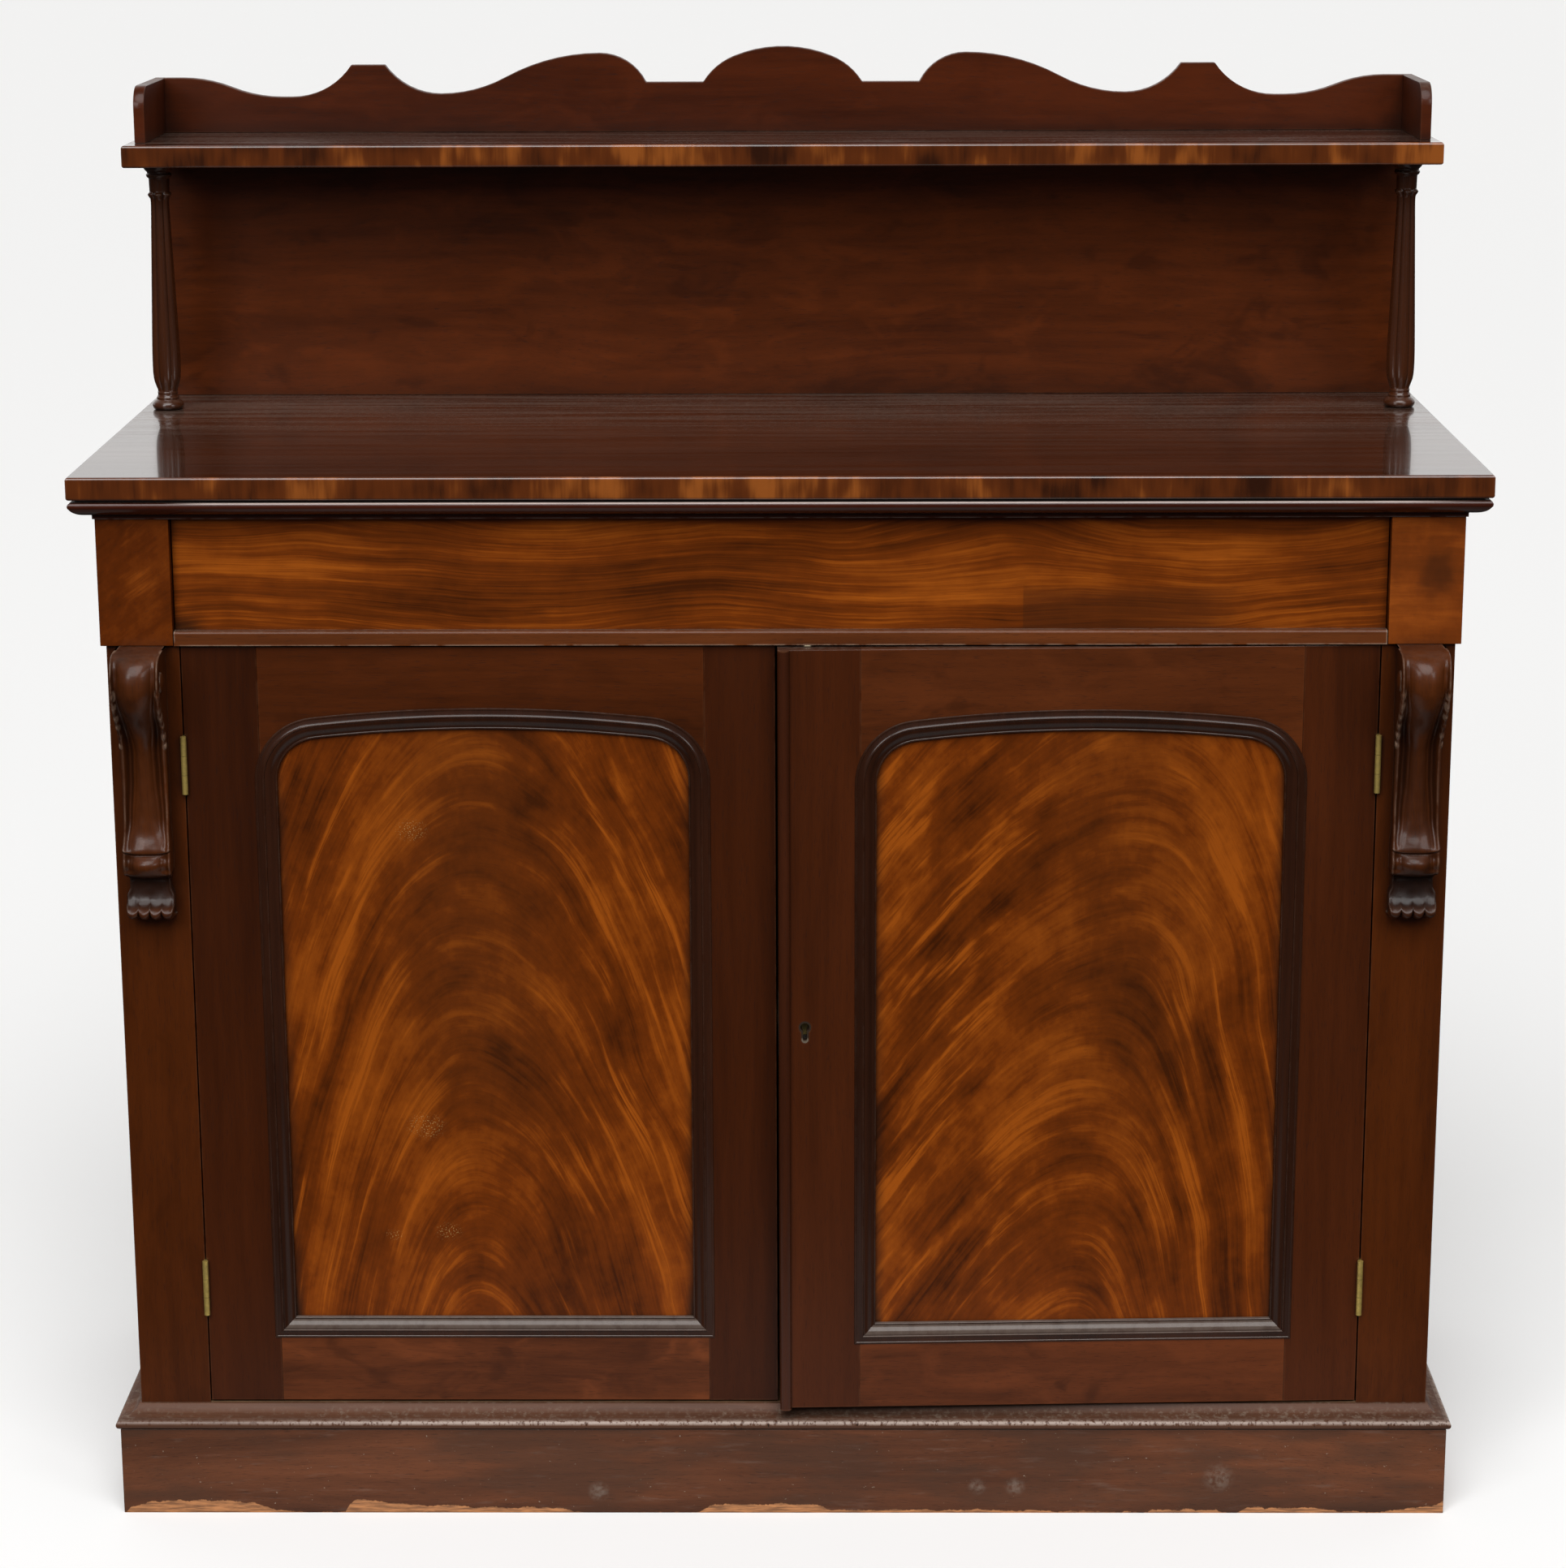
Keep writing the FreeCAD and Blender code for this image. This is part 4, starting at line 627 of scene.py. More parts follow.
# The share of the grid's width that each side of a corbel takes.
SIDE_SHARE = 0.2
# Balls carved on both sides of the head, its eye last: height, distance past the pilaster, radius. They stand
# this far to either side of the corbel's middle.
BEAD_OUT = 19.6
CORBEL_BEADS = (
    (34, 50, 4.4), (45, 46, 4), (55, 39, 3.8), (65, 31, 3.6), (75, 24.5, 3.4), (85, 20.5, 3),
    (26, 34, 8),
)


def corbel_point(u, v):
    """A point on the right-hand corbel. U runs from the back of one side over the front to the other back."""
    past, below = along_line(CORBEL_LINE, v)
    side = 0
    if u < SIDE_SHARE:
        side, across = 1 - u / SIDE_SHARE, -1
    elif u > 1 - SIDE_SHARE:
        side, across = (u - 1 + SIDE_SHARE) / SIDE_SHARE, 1
    else:
        across = (u - 0.5) / (0.5 - SIDE_SHARE)
    reach = abs(across)
    rib = step_value(CORBEL_RIB, below)
    drop = step_value(CORBEL_CROWN, below) * (min(reach, rib) / rib) ** 2.4
    if reach > rib:
        outward = (reach - rib) / (1 - rib)
        drop += step_value(CORBEL_FLUTE, below) * (1 - math.cos(2 * math.pi * min(outward / 0.84, 1))) / 2
        drop -= step_value(CORBEL_RIM, below) * min(outward / 0.8, 1) ** 2
        drop += 1.6 * max((outward - 0.8) / 0.2, 0) ** 2
    lift = 3.4 * reach ** 5 * math.exp(-((below - KNOT_TOP) / 5) ** 2)
    lift -= 1.8 * (1 - reach ** 2) * math.exp(-((below - KNOT_FOOT) / 3.5) ** 2)
    if below > TOES_TOP:
        gap = 1 - abs(math.sin(across * math.pi * 2)) ** 0.5
        low = min((below - TOES_TOP) / 12, 1)
        drop += gap * 3 * low
        lift += gap * 4.2 * low - 0.8 * low
    drop += 0.5 * noise.noise(Vector((across * 2.5, past * 0.06, below * 0.09)))
    deep = max(past - min(drop, past * 0.55), 0)
    width = step_value(CORBEL_HALF, below) * across
    if side:
        # The side steps in behind a rim that follows the front.
        deep *= 1 - side
        if past > 10:
            width -= math.copysign(1.5 * min(max(side - 0.16, 0) / 0.05, 1), across)
    below = min(max(below - lift, 0), CORBEL_TALL)
    x = Vector((CORBEL_MIDDLE + width, 0, 0)) * MM
    return x + Vector((0, PILASTER_FACE - deep * MM, FRIEZE_FOOT - below * MM))


class CHIFFONIER_OT_corbels(bpy.types.Operator):
    """Two carved consoles: volute, fluted shaft, knot and scalloped foot"""

    bl_idname = "chiffonier.corbels"
    bl_label = "Corbels"

    def execute(self, context):
        bm = skin(128, 210, corbel_point)
        for below, past, radius in CORBEL_BEADS:
            for out in (-BEAD_OUT, BEAD_OUT):
                place = ((CORBEL_MIDDLE + out) * MM, PILASTER_FACE - past * MM, FRIEZE_FOOT - below * MM)
                ball(bm, 20, 12, radius, (0.42, 1, 1.15), place)
        piece("carved_corbels", mirrored(bm), "case", "corbel_timber", ("corbels",), 50)
        return {"FINISHED"}


# ---- columns ----
# Rings up a column: share of its height, radius in millimetres, depth of its lobes.
COLUMN_RINGS = (
    (0, 12.2, 0), (0.004, 13.6, 0), (0.012, 14.6, 0), (0.02, 14.7, 0), (0.029, 13.9, 0),
    (0.036, 12.2, 0), (0.04, 11, 0), (0.042, 10.4, 0), (0.05, 10.6, 0), (0.054, 10, 0), (0.062, 9.3, 0),
    (0.07, 9.6, 0), (0.075, 9.2, 0), (0.082, 9.6, 0.6), (0.098, 11, 1), (0.12, 12.6, 1),
    (0.15, 13.4, 1), (0.19, 13.6, 1), (0.24, 13.45, 1), (0.32, 12.9, 1), (0.42, 12.1, 1),
    (0.52, 11.3, 1), (0.62, 10.5, 1), (0.72, 9.75, 1), (0.8, 9.1, 1), (0.84, 8.9, 1), (0.858, 9.3, 1.2),
    (0.868, 10.8, 1.6), (0.876, 11.6, 1.8), (0.882, 10.6, 1.4), (0.886, 9.6, 0.4), (0.892, 9.4, 0),
    (0.93, 9.6, 0), (0.94, 9.8, 0), (0.944, 11, 0), (0.95, 11.8, 0), (0.956, 11.9, 0), (0.96, 11, 0),
    (0.966, 11.2, 0), (0.974, 13, 0), (0.984, 14.4, 0), (0.99, 14.8, 0), (1, 14.8, 0),
)
COLUMN_HEAD = 14.8 * MM
LOBE_DEPTH = 1.7


class CHIFFONIER_OT_columns(bpy.types.Operator):
    """Two turned columns with a lobed shaft that swells over its foot"""

    bl_idname = "chiffonier.columns"
    bl_label = "Columns"

    def execute(self, context):
        lobes = looks().lobes
        low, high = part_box("columns")
        centre = Vector((high.x - COLUMN_HEAD, (low.y + high.y) / 2, TOP))

        def place(u, v):
            share, radius, lobed = along_line(COLUMN_RINGS, v)
            angle = u * 2 * math.pi
            hollow = 1 - abs(math.cos(angle * lobes / 2)) ** 0.7
            radius -= hollow * LOBE_DEPTH * max(lobed, 0)
            up = min(max(share, 0), 1) * (SHELF_UNDER - TOP)
            return centre + Vector((math.sin(angle) * radius * MM, -math.cos(angle) * radius * MM, up))

        bm = mirrored(skin(96, 126, place))
        piece("turned_columns", bm, "case", "column_timber", ("columns",), 50)
        return {"FINISHED"}


# ---- mouldings round the panels ----
# Steps of the section from its outer edge: millimetres inward, millimetres forward.
MOULD_STEPS = (
    (0.2, 0.9), (0.4, 0.5), (0.5, 0.15), (0.9, -0.05), (0.4, -0.3), (0.5, 0.1), (1.2, 0.2), (1.4, 0.3),
    (1, 0.4), (0.5, 0.4), (0.35, 0.1), (0.4, 0.02), (0.4, -0.1), (0.3, -0.35), (0.15, -0.5),
    (0.35, 0.1), (1, -0.1), (1.3, -0.3), (1.3, -0.5), (0.8, -0.55), (0.9, -0.75), (1.2, -0.7),
    (1.2, -0.45), (0.9, -0.2), (0.2, 0.35), (0.4, 0.3), (0.6, 0.05), (0.4, -0.2), (0.2, -0.6),
    (0.1, -2.8),
)
# How far the moulding laps over the door's frame, and how deep its back lies under the door's face.
MOULD_LAP = 5.2 * MM
MOULD_SEAT = 0.5 * MM


def arch_outline(bm, middle, half, foot, spring, crown, y):
    """A closed face: square below, with a three-centred arch above."""
    small = ARCH_SHOULDER + MOULD_LAP
    rise, reach = crown - spring, half - small
    big = (reach ** 2 + rise ** 2 - small ** 2) / (2 * (rise - small))
    turn = math.atan2(reach, big - rise)
    shoulder = math.pi / 2 - turn
    line = [bm.verts.new((middle + half, y, spring))]
    for centre_x, centre_z, angle, steps in (
        (middle + reach, spring, shoulder, 14),
        (middle, crown - big, turn * 2, 40),
        (middle - reach, spring, shoulder, 14),
    ):
        centre = Vector((centre_x, y, centre_z))
        before = set(bm.verts)
        bmesh.ops.spin(bm, geom=[line[-1]], cent=centre, axis=(0, -1, 0), angle=angle, steps=steps)
        turning = line[-1].co - centre
        line += sorted(set(bm.verts) - before, key=lambda vert: turning.angle(vert.co - centre))
    line.append(bm.verts.new((middle - half, y, foot)))
    line.append(bm.verts.new((middle + half, y, foot)))
    for edge in bm.edges[:]:
        bm.edges.remove(edge)
    return bm.faces.new(line)


class CHIFFONIER_OT_panel_mouldings(bpy.types.Operator):
    """Moulding round each door panel: a bead, a hollow and an inner lip, mitred at the foot"""

    bl_idname = "chiffonier.panel_mouldings"
    bl_label = "Panel mouldings"

    def execute(self, context):
        for side, (middle, half, foot, spring, crown) in PANELS.items():
            bm = bmesh.new()
            half, foot, crown = half + MOULD_LAP, foot - MOULD_LAP, crown + MOULD_LAP
            face = arch_outline(bm, middle, half, foot, spring, crown, DOOR_FACE + MOULD_SEAT)
            face.normal_update()
            if face.normal.y > 0:
                face.normal_flip()
            for inward, forward in MOULD_STEPS:
                bmesh.ops.inset_region(bm, faces=[face], thickness=inward * MM, depth=forward * MM,
                                       use_even_offset=True, use_boundary=True)
            bmesh.ops.delete(bm, geom=[face], context="FACES")
            bmesh.ops.bridge_loops(bm, edges=[edge for edge in bm.edges if edge.is_boundary])
            if side == "right":
                swung(bm)
            replaced = (side + "_door_panel_moulding",)
            piece(side + "_panel_bead", bm, side + "_door", "moulding_timber", replaced, 22)
        return {"FINISHED"}


# ---- mouldings of the case ----
def rounded(centre, radius, start, end, steps):
    """Points on an arc, angles in degrees from straight out."""
    angles = [math.radians(start + (end - start) * step / steps) for step in range(steps + 1)]
    return [(centre[0] + radius * math.cos(turn), centre[1] + radius * math.sin(turn)) for turn in angles]


def bent(first, pull, last, steps):
    """Points on a curve from first to last, drawn towards pull."""
    ends = list(zip(first, pull, last))
    shares = [step / steps for step in range(steps + 1)]
    return [tuple(a * (1 - t) ** 2 + b * 2 * t * (1 - t) + c * t * t for a, b, c in ends) for t in shares]


def swept(section):
    """A moulding along the front and sides of the case, mitred at the corners; section in millimetres."""
    ring = (*section, section[0])

    def place(u, v):
        out, height = ring[round(u * len(section))]
        station = round(v * 3)
        x = CASE_SIDE + out * MM
        y = CASE_BACK if station in (0, 3) else PILASTER_FACE - out * MM
        return Vector((-x if station < 2 else x, y, height * MM))

    return skin(len(section), 3, place)


# Sections as millimetres out from the case and millimetres above the floor.
PLINTH_SECTION = (
    (0, 82), *rounded((16.4, 86.9), 4.4, -84, 100, 14), (15.2, 91.4),
    *bent((15, 92), (5.6, 92.8), (1.8, 101), 10), (0, 101.5),
)
UNDER_SECTION = (
    (0, 939.1), (17.6, 939.1), (17.8, 937.2), *rounded((20.4, 933.7), 3.5, 92, -28, 10),
    *bent((22.6, 931), (19, 925.4), (9, 924.4), 8), (6.2, 924.2), (6, 920.1), (0, 920.1),
)


class CHIFFONIER_OT_case_mouldings(bpy.types.Operator):
    """Bead and hollow on the plinth, and the thumb moulding under the top"""

    bl_idname = "chiffonier.case_mouldings"
    bl_label = "Case mouldings"

    def execute(self, context):
        for name, section in (("plinth_moulding", PLINTH_SECTION), ("under_moulding", UNDER_SECTION)):
            replaced = (name + "_front", name + "_returns")
            piece(name, swept(section), "case", name + "_timber", replaced, 40)
        return {"FINISHED"}


# ---- catch ----
# The tongue runs from just behind the drawer rail's face to just behind that of the drawer's lip.
CATCH_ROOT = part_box("drawer_rail")[0].y + 0.4 * MM
CATCH_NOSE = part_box("drawer_lip")[0].y + 0.1 * MM
CATCH_WIDE = 8 * MM
CATCH_THICK = 1.2 * MM
CATCH_X = 24 * MM
CATCH_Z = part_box("left_door_top_rail")[1].z + 0.92 * MM
RIVET_SETBACK = 4.6 * MM


def round_edges(bm, edges, offset, segments):
    """Rounds edges of a mesh by an offset in millimetres."""
    bmesh.ops.bevel(bm, geom=edges, offset=offset * MM, segments=segments, profile=0.5, material=-1,
                    affect="EDGES")


class CHIFFONIER_OT_catch(bpy.types.Operator):
    """Brass tongue let into the drawer rail, which shows in the joint above the right door"""

    bl_idname = "chiffonier.catch"
    bl_label = "Catch"

    def execute(self, context):
        deep = CATCH_ROOT - CATCH_NOSE
        bm = bmesh.new()
        bmesh.ops.create_cube(bm, size=1)
        bmesh.ops.scale(bm, vec=(CATCH_WIDE, deep, CATCH_THICK), verts=bm.verts)
        upright = [edge for edge in bm.edges if edge.calc_length() < 2 * CATCH_THICK]
        round_edges(bm, [edge for edge in upright if edge.verts[0].co.y < 0], 3, 8)
        round_edges(bm, bm.edges[:], 0.2, 2)
        ball(bm, 20, 10, 2.4, (1, 1, 0.3), (0, RIVET_SETBACK - deep / 2, 0))
        bmesh.ops.translate(bm, vec=(CATCH_X, (CATCH_ROOT + CATCH_NOSE) / 2, CATCH_Z), verts=bm.verts)
        piece("rail_catch", bm, "case", "catch_brass")
        return {"FINISHED"}


# ---- screws of the hinges ----
HINGE_FEET = (187.6 * MM, 674.9 * MM)
# Screw holes of a leaf: millimetres above its foot, and millimetres in from the door's face.
SCREW_HOLES = ((8, 12.5), (26, 6.5), (44, 12.5))
# Each body's hinge sides, and how far past the hinge pin the heads lie in millimetres.
SCREW_SIDES = {"case": ((-1, 1), 0.13), "left_door": ((-1,), -0.13), "right_door": ((1,), -0.13)}


class CHIFFONIER_OT_hinge_screws(bpy.types.Operator):
    """Countersunk screws in the leaves of the four hinges"""

    bl_idname = "chiffonier.hinge_screws"
    bl_label = "Hinge screws"

    def execute(self, context):
        for body, (sides, face) in SCREW_SIDES.items():
            bm = bmesh.new()
            for foot in HINGE_FEET:
                for up, deep in SCREW_HOLES:
                    for side in sides:
                        place = (side * (HINGE_PIN.x + face * MM), DOOR_FACE + deep * MM, foot + up * MM)
                        ball(bm, 24, 10, 2.7, (0.03, 1, 1), place)
            if body == "right_door":
                swung(bm)
            piece(body + "_hinge_screws", bm, body, "screw_brass")
        return {"FINISHED"}


# ---- finishes of the frame's own boards ----
# Patches of crackled polish on the left panel: distance from the middle, height and radius, in metres.
CRACKLE = ((-0.319, 0.3656, 0.022), (-0.301, 0.265, 0.015), (-0.35, 0.262, 0.01), (-0.325, 0.64, 0.018))


def shade_panel(side, dark_middle, weight):
    """Darkens a veneered panel down its middle, and paints shade beside its moulding, deepest in its lower
    corners.
    """
    middle, half, foot = PANELS[side][:3]

    def shade(t, x, y, z, base):
        core = abs(x - dark_middle).span(0, 0.12, 1, 0) * (z - foot).span(0.1, 0.3) * weight
        cloud = t.noise(x * 40, 1, z * 14, 3, 0.6).span(0.3, 0.6, 0.45, 1)
        # Painted shade down both sides, beside the moulding, deeper towards the foot.
        rim = abs(x - middle).span(half - 0.025, half - 0.014)
        edge = (rim * 0.5 + rim * z.span(foot + 0.05, foot + 0.02) * 0.4) * cloud
        base = t.coats(base, (core, (0.062, 0.018, 0.0045)), (edge, (0.014, 0.007, 0.004)))
        return shade_crackle(t, x, y, z, base) if side == "left" else base

    return shade


def shade_crackle(t, x, y, z, base):
    """Specks where the polish has crackled."""
    speck = t.noise(x * 760, 1, z * 760).span(0.58, 0.64)
    for crackle_x, crackle_z, radius in CRACKLE:
        away = ((x - crackle_x) ** 2 + ((z - crackle_z) * 1.4) ** 2) ** 0.5
        base = t.blend(away.span(radius * 0.3, radius, 0.6, 0) * speck, base, (0.46, 0.28, 0.1))
    return base


def shade_foot(t, x, y, z, base):
    """Dust on the foot of each panel moulding, from corner to corner."""
    up = t.split(t.add("NewGeometry", "True Normal"))[2].span(0.04, 0.14)
    cloud = t.noise(x * 90, 1, z * 90, 3, 0.6).span(0.25, 0.6, 0.6, 1)
    return t.blend(z.span(0.1865, 0.185) * up * cloud * 0.75, base, (0.12, 0.09, 0.074))


def shade_corbel(t, x, y, z, base):
    """Darkens the neck and foot of a corbel under its knot, less so towards the rim of the foot."""
    low = z.span(FRIEZE_FOOT - 0.196, FRIEZE_FOOT - 0.206)
    rim = z.span(FRIEZE_FOOT - 0.229, FRIEZE_FOOT - 0.235, 1, 0.35)
    return t.blend(low * rim * 0.75, base, (0.01, 0.006, 0.005))


def shade_column(t, x, y, z, base):
    """The right-hand column is darker."""
    return t.blend(x.span(0, 0.1) * 0.28, base, (0.012, 0.0035, 0.0015))


def nose_highlight(t, x, y, z, base):
    """A painted highlight: a pale line, broken in places, along the upper side of the nose of the moulding
    under the top.
    """
    line = z.span(0.9354, 0.9361) * z.span(0.9371, 0.9366) * x.span(-0.53, -0.48) * x.span(0.6, 0.52)
    broken = t.noise(x * 9, 0, 0, 3, 0.6).span(0.25, 0.5, 0.3, 0.9)
    return t.blend(line * broken, base, (0.52, 0.42, 0.38))


def shade_frieze(t, x, y, z, base):
    """A painted shadow in the lower left corner of the drawer front, and a repaired length of plainer veneer.
    """
    # The painted shadow lies below and to the left of this point.
    shadow_x, shadow_z = -0.505, 0.835
    corner = (z - shadow_z).span(-0.012, 0.004, 1, 0) * (x - shadow_x).span(-0.012, 0.012, 1, 0)
    repair = x.span(0.2105, 0.2115) * x.span(0.36, 0.42, 1, 0) * z.span(0.862, 0.85)
    return t.coats(base, (corner * 0.75, (0.012, 0.006, 0.003)), (repair * 0.45, (0.05, 0.014, 0.004)))


def shade_block(t, x, y, z, base):
    """The right-hand block is the paler one, with a dark knot."""
    paler = t.blend(x.span(0, 0.1) * 0.55, base, (0.3, 0.075, 0.014), "ADD")
    away = ((x - 0.566) ** 2 + ((z - 0.872) * 0.7) ** 2) ** 0.5
    knot = away + (t.noise(x * 60, 1, z * 60, 3) - 0.5) * 0.02
    return t.coats(base, (0.35, paler), (knot.span(0.006, 0.02, 0.5, 0), (0.03, 0.01, 0.004)))


# Solid timbers: axis of the grain, darkest and lightest colour, seed, and what differs from the usual polish.
TIMBERS = {
    "upright_timber": ("Z", (0.0215, 0.0046, 0.001), (0.058, 0.0125, 0.0024), 1, {}),
    "right_upright_timber": ("Z", (0.029, 0.0064, 0.0014), (0.076, 0.0168, 0.0036), 5, {}),
    "rail_timber": ("X", (0.0285, 0.0064, 0.0012), (0.093, 0.02, 0.0034), 9, {"mottle": 0.3}),
    "right_rail_timber": ("X", (0.033, 0.0079, 0.002), (0.111, 0.0262, 0.0058), 10, {"mottle": 0.5}),
    "foot_rail_timber": ("X", (0.04, 0.0098, 0.0026), (0.172, 0.0435, 0.0115), 12, {"mottle": 0.6}),
    "right_foot_rail_timber": ("X", (0.03, 0.0072, 0.0019), (0.13, 0.032, 0.0085), 13, {"mottle": 0.6}),
    # Its worn colour paints a highlight along the bead as well as wear.
    "bead_timber": ("Z", (0.02, 0.005, 0.0018), (0.055, 0.0135, 0.0045), 2, {
        "rough": 0.24, "coat": 0.3, "rub_and_highlight": 0.8,
    }),
    "pilaster_timber": ("Z", (0.031, 0.0066, 0.0009), (0.085, 0.0185, 0.0025), 15, {"mottle": 0.3}),
    # Its wide corner distance paints shade on the back beneath the shelf.
    "back_timber": ("X", (0.032, 0.0064, 0.001), (0.135, 0.0265, 0.0034), 18, {
        "wave": 0.06, "corner": 0.06, "mottle": 0.5,
    }),
    "gallery_timber": ("X", (0.026, 0.0048, 0.001), (0.09, 0.0165, 0.0032), 23, {
        "wave": 0.04, "mottle": 0.3,
    }),
    # Its worn colour paints highlights along the arrises, and its nose carries a painted highlight line.
    "under_moulding_timber": ("X", (0.024, 0.0045, 0.0016), (0.066, 0.012, 0.0044), 25, {
        "rough": 0.24, "coat": 0.35, "dust": 0.1, "ledge": 0.55, "rub_and_highlight": 0.6, "worn": (0.2, 0.15, 0.13),
        "shade": nose_highlight,
    }),
    # Its worn colour paints a highlight along the lip's edge as well as wear.
    "lip_timber": ("X", (0.056, 0.0145, 0.0036), (0.17, 0.046, 0.0115), 29, {
        "rub_and_highlight": 1, "worn": (0.26, 0.17, 0.12),
    }),
    # Its worn colour paints thin highlights along the arrises as well as wear.
    "moulding_timber": ("Z", (0.011, 0.0034, 0.0015), (0.04, 0.0118, 0.0048), 31, {
        "rough": 0.26, "coat": 0.3, "dust": 0.25, "edge": 0.0007, "rub_and_highlight": 0.85, "worn": (0.165, 0.12, 0.09),
        "corner": 0.01, "shade": shade_foot,
    }),
    # Strong grime over a short corner distance paints shade into the flutes; the worn colour on its edges is
    # partly a painted highlight.
    "corbel_timber": ("Z", (0.016, 0.0042, 0.0014), (0.106, 0.0255, 0.0046), 33, {
        "rough": 0.34, "uneven": 9, "dust": 0.1, "rub_and_highlight": 0.8, "corner": 0.012, "grime_and_shade": 0.95, "specular": 0.2,
        "worn": (0.2, 0.125, 0.085), "shade": shade_corbel,
    }),
    # Its worn colour paints thin highlights along the arrises of the lobes as well as wear.
    "column_timber": ("Z", (0.018, 0.0049, 0.0018), (0.078, 0.02, 0.0052), 35, {
        "rough": 0.24, "coat": 0.4, "dust": 0.2, "rub_and_highlight": 0.9, "corner": 0.01, "specular": 0.3,
        "worn": (0.24, 0.14, 0.085), "shade": shade_column,
    }),
}
# The nodes that wear each finish.
FINISHES = {
    "upright_timber": ("left_door_hinge_stile", "left_door_meeting_stile"),
    "right_upright_timber": ("right_door_hinge_stile", "right_door_meeting_stile"),
    "rail_timber": ("left_door_top_rail", "drawer_rail", "top_frame"),
    "right_rail_timber": ("right_door_top_rail",),
    "foot_rail_timber": ("left_door_bottom_rail",),
    "right_foot_rail_timber": ("right_door_bottom_rail",),
    "bead_timber": ("meeting_bead",),
    "pilaster_timber": ("pilasters", "case_side_left", "case_side_right"),
    "top_polish": ("top_board",),
    "shelf_polish": ("upper_shelf",),
    "back_timber": ("back_panel",),
    "gallery_timber": ("gallery_back", "gallery_sides"),
    "under_moulding_timber": ("under_moulding_front", "under_moulding_returns"),
    "plinth_moulding_timber": ("plinth_moulding_front", "plinth_moulding_returns"),
    "plinth_timber": ("plinth_front", "plinth_sides"),
    "frieze_figure": ("drawer_front",),
    "lip_timber": ("drawer_lip",),
    "block_figure": ("frieze_blocks", "frieze_sides"),
    "left_flame": ("left_door_panel",),
    "right_flame": ("right_door_panel",),
    "plain_carcass": (
        "plinth_back", "corner_blocks", "bottom_board", "back_boards", "drawer_runners", "cupboard_shelf",
        "shelf_bearers", "drawer_side_left", "drawer_side_right", "drawer_back", "drawer_bottom",
    ),
    "hinge_brass": ("hinge_case_leaves", "hinge_pins", "left_hinge_leaves", "right_hinge_leaves"),
    "bolt_brass": ("upper_bolt", "lower_bolt", "bolt_guides", "strike_plate", "lock_bolt"),
    "lock_iron": ("lock_case",),
    "key_plate_brass": ("key_plate",),
}
# Square-cut boards, whose edges are softened: all the boards of these finishes, and some of two others.
SQUARE_FINISHES = (
    "upright_timber", "right_upright_timber", "right_rail_timber", "foot_rail_timber",
    "right_foot_rail_timber", "pilaster_timber", "back_timber", "gallery_timber", "plinth_timber",
    "frieze_figure", "block_figure",
)
SQUARE_BOARDS = (
    "left_door_top_rail", "drawer_side_left", "drawer_side_right", "drawer_back", "cupboard_shelf",
    "back_boards",
)


def soften(board):
    """Rounds a frame board's square edges with modifiers."""
    join = board.modifiers.new("join", "WELD")
    join.merge_threshold = 1e-5
    flats = board.modifiers.new("flats", "DECIMATE")
    flats.decimate_type = "DISSOLVE"
    flats.angle_limit = math.radians(0.5)
    edges = board.modifiers.new("edges", "BEVEL")
    edges.width = looks().edge_round
    edges.segments = 2
    edges.limit_method = "ANGLE"
    edges.angle_limit = math.radians(40)
    edges.use_clamp_overlap = True


class CHIFFONIER_OT_finishes(bpy.types.Operator):
    """Polish, veneers, brass and dust on every board of the frame"""

    bl_idname = "chiffonier.finishes"
    bl_label = "Finishes"

    def execute(self, context):
        for name, (make, inputs) in EFFECTS.items():
            effect_group(name, make, inputs)
        for name, (along, dark, light, seed, unusual) in TIMBERS.items():
            timber(name, along, dark, light, seed, **unusual)
        plinth_moulding_finish()
        plinth_finish()
        carcass_finish()
        board_top("top_polish", TOP_FRONT, 0.6, 3)
        board_top("shelf_polish", SHELF_FRONT, 2.4, 6)
        veneer("left_flame", "Flame figure", 3, Middle=-0.268, Steepness=2.7, Lean=-0.05, Tightness=0.045,
               Opening=0.24, shade=shade_panel("left", -0.27, 0.35))
        veneer("right_flame", "Flame figure", 11, Middle=0.252, Steepness=2.2, Lean=0.33, Tightness=0.045,
               Opening=0.22, Drift=0.13, shade=shade_panel("right", 0.3, 0.25))
        veneer("frieze_figure", "Ribbon figure", 4, dark=(0.052, 0.011, 0.0014), mid=(0.165, 0.033, 0.0026),
               light=(0.38, 0.092, 0.007), shade=shade_frieze)
        veneer("block_figure", "Flame figure", 8, dark=(0.04, 0.0084, 0.001), mid=(0.102, 0.0196, 0.0017),
               light=(0.22, 0.05, 0.0048), Middle=0.55, Foot=0.6, Steepness=0.6, Tightness=0.3, Opening=0.5,
               shade=shade_block)
        slots = [foot + up * MM for foot in HINGE_FEET for up, deep in SCREW_HOLES]
        metal_finish("hinge_brass", looks().brass, (0.16, 0.11, 0.035))
        metal_finish("bolt_brass", looks().brass, (0.2, 0.14, 0.05))
        metal_finish("screw_brass", looks().brass, (0.2, 0.14, 0.05), slots)
        metal_finish("catch_brass", (0.85, 0.76, 0.55), (0.4, 0.32, 0.18))
        metal_finish("lock_iron", (0.16, 0.15, 0.14), (0.07, 0.045, 0.03))
        key_plate_finish()
        for finish, names in FINISHES.items():
            for name in names:
                nodes[name].material_slots[0].material = bpy.data.materials[finish]
                if finish in SQUARE_FINISHES or name in SQUARE_BOARDS:
                    soften(nodes[name])
        return {"FINISHED"}


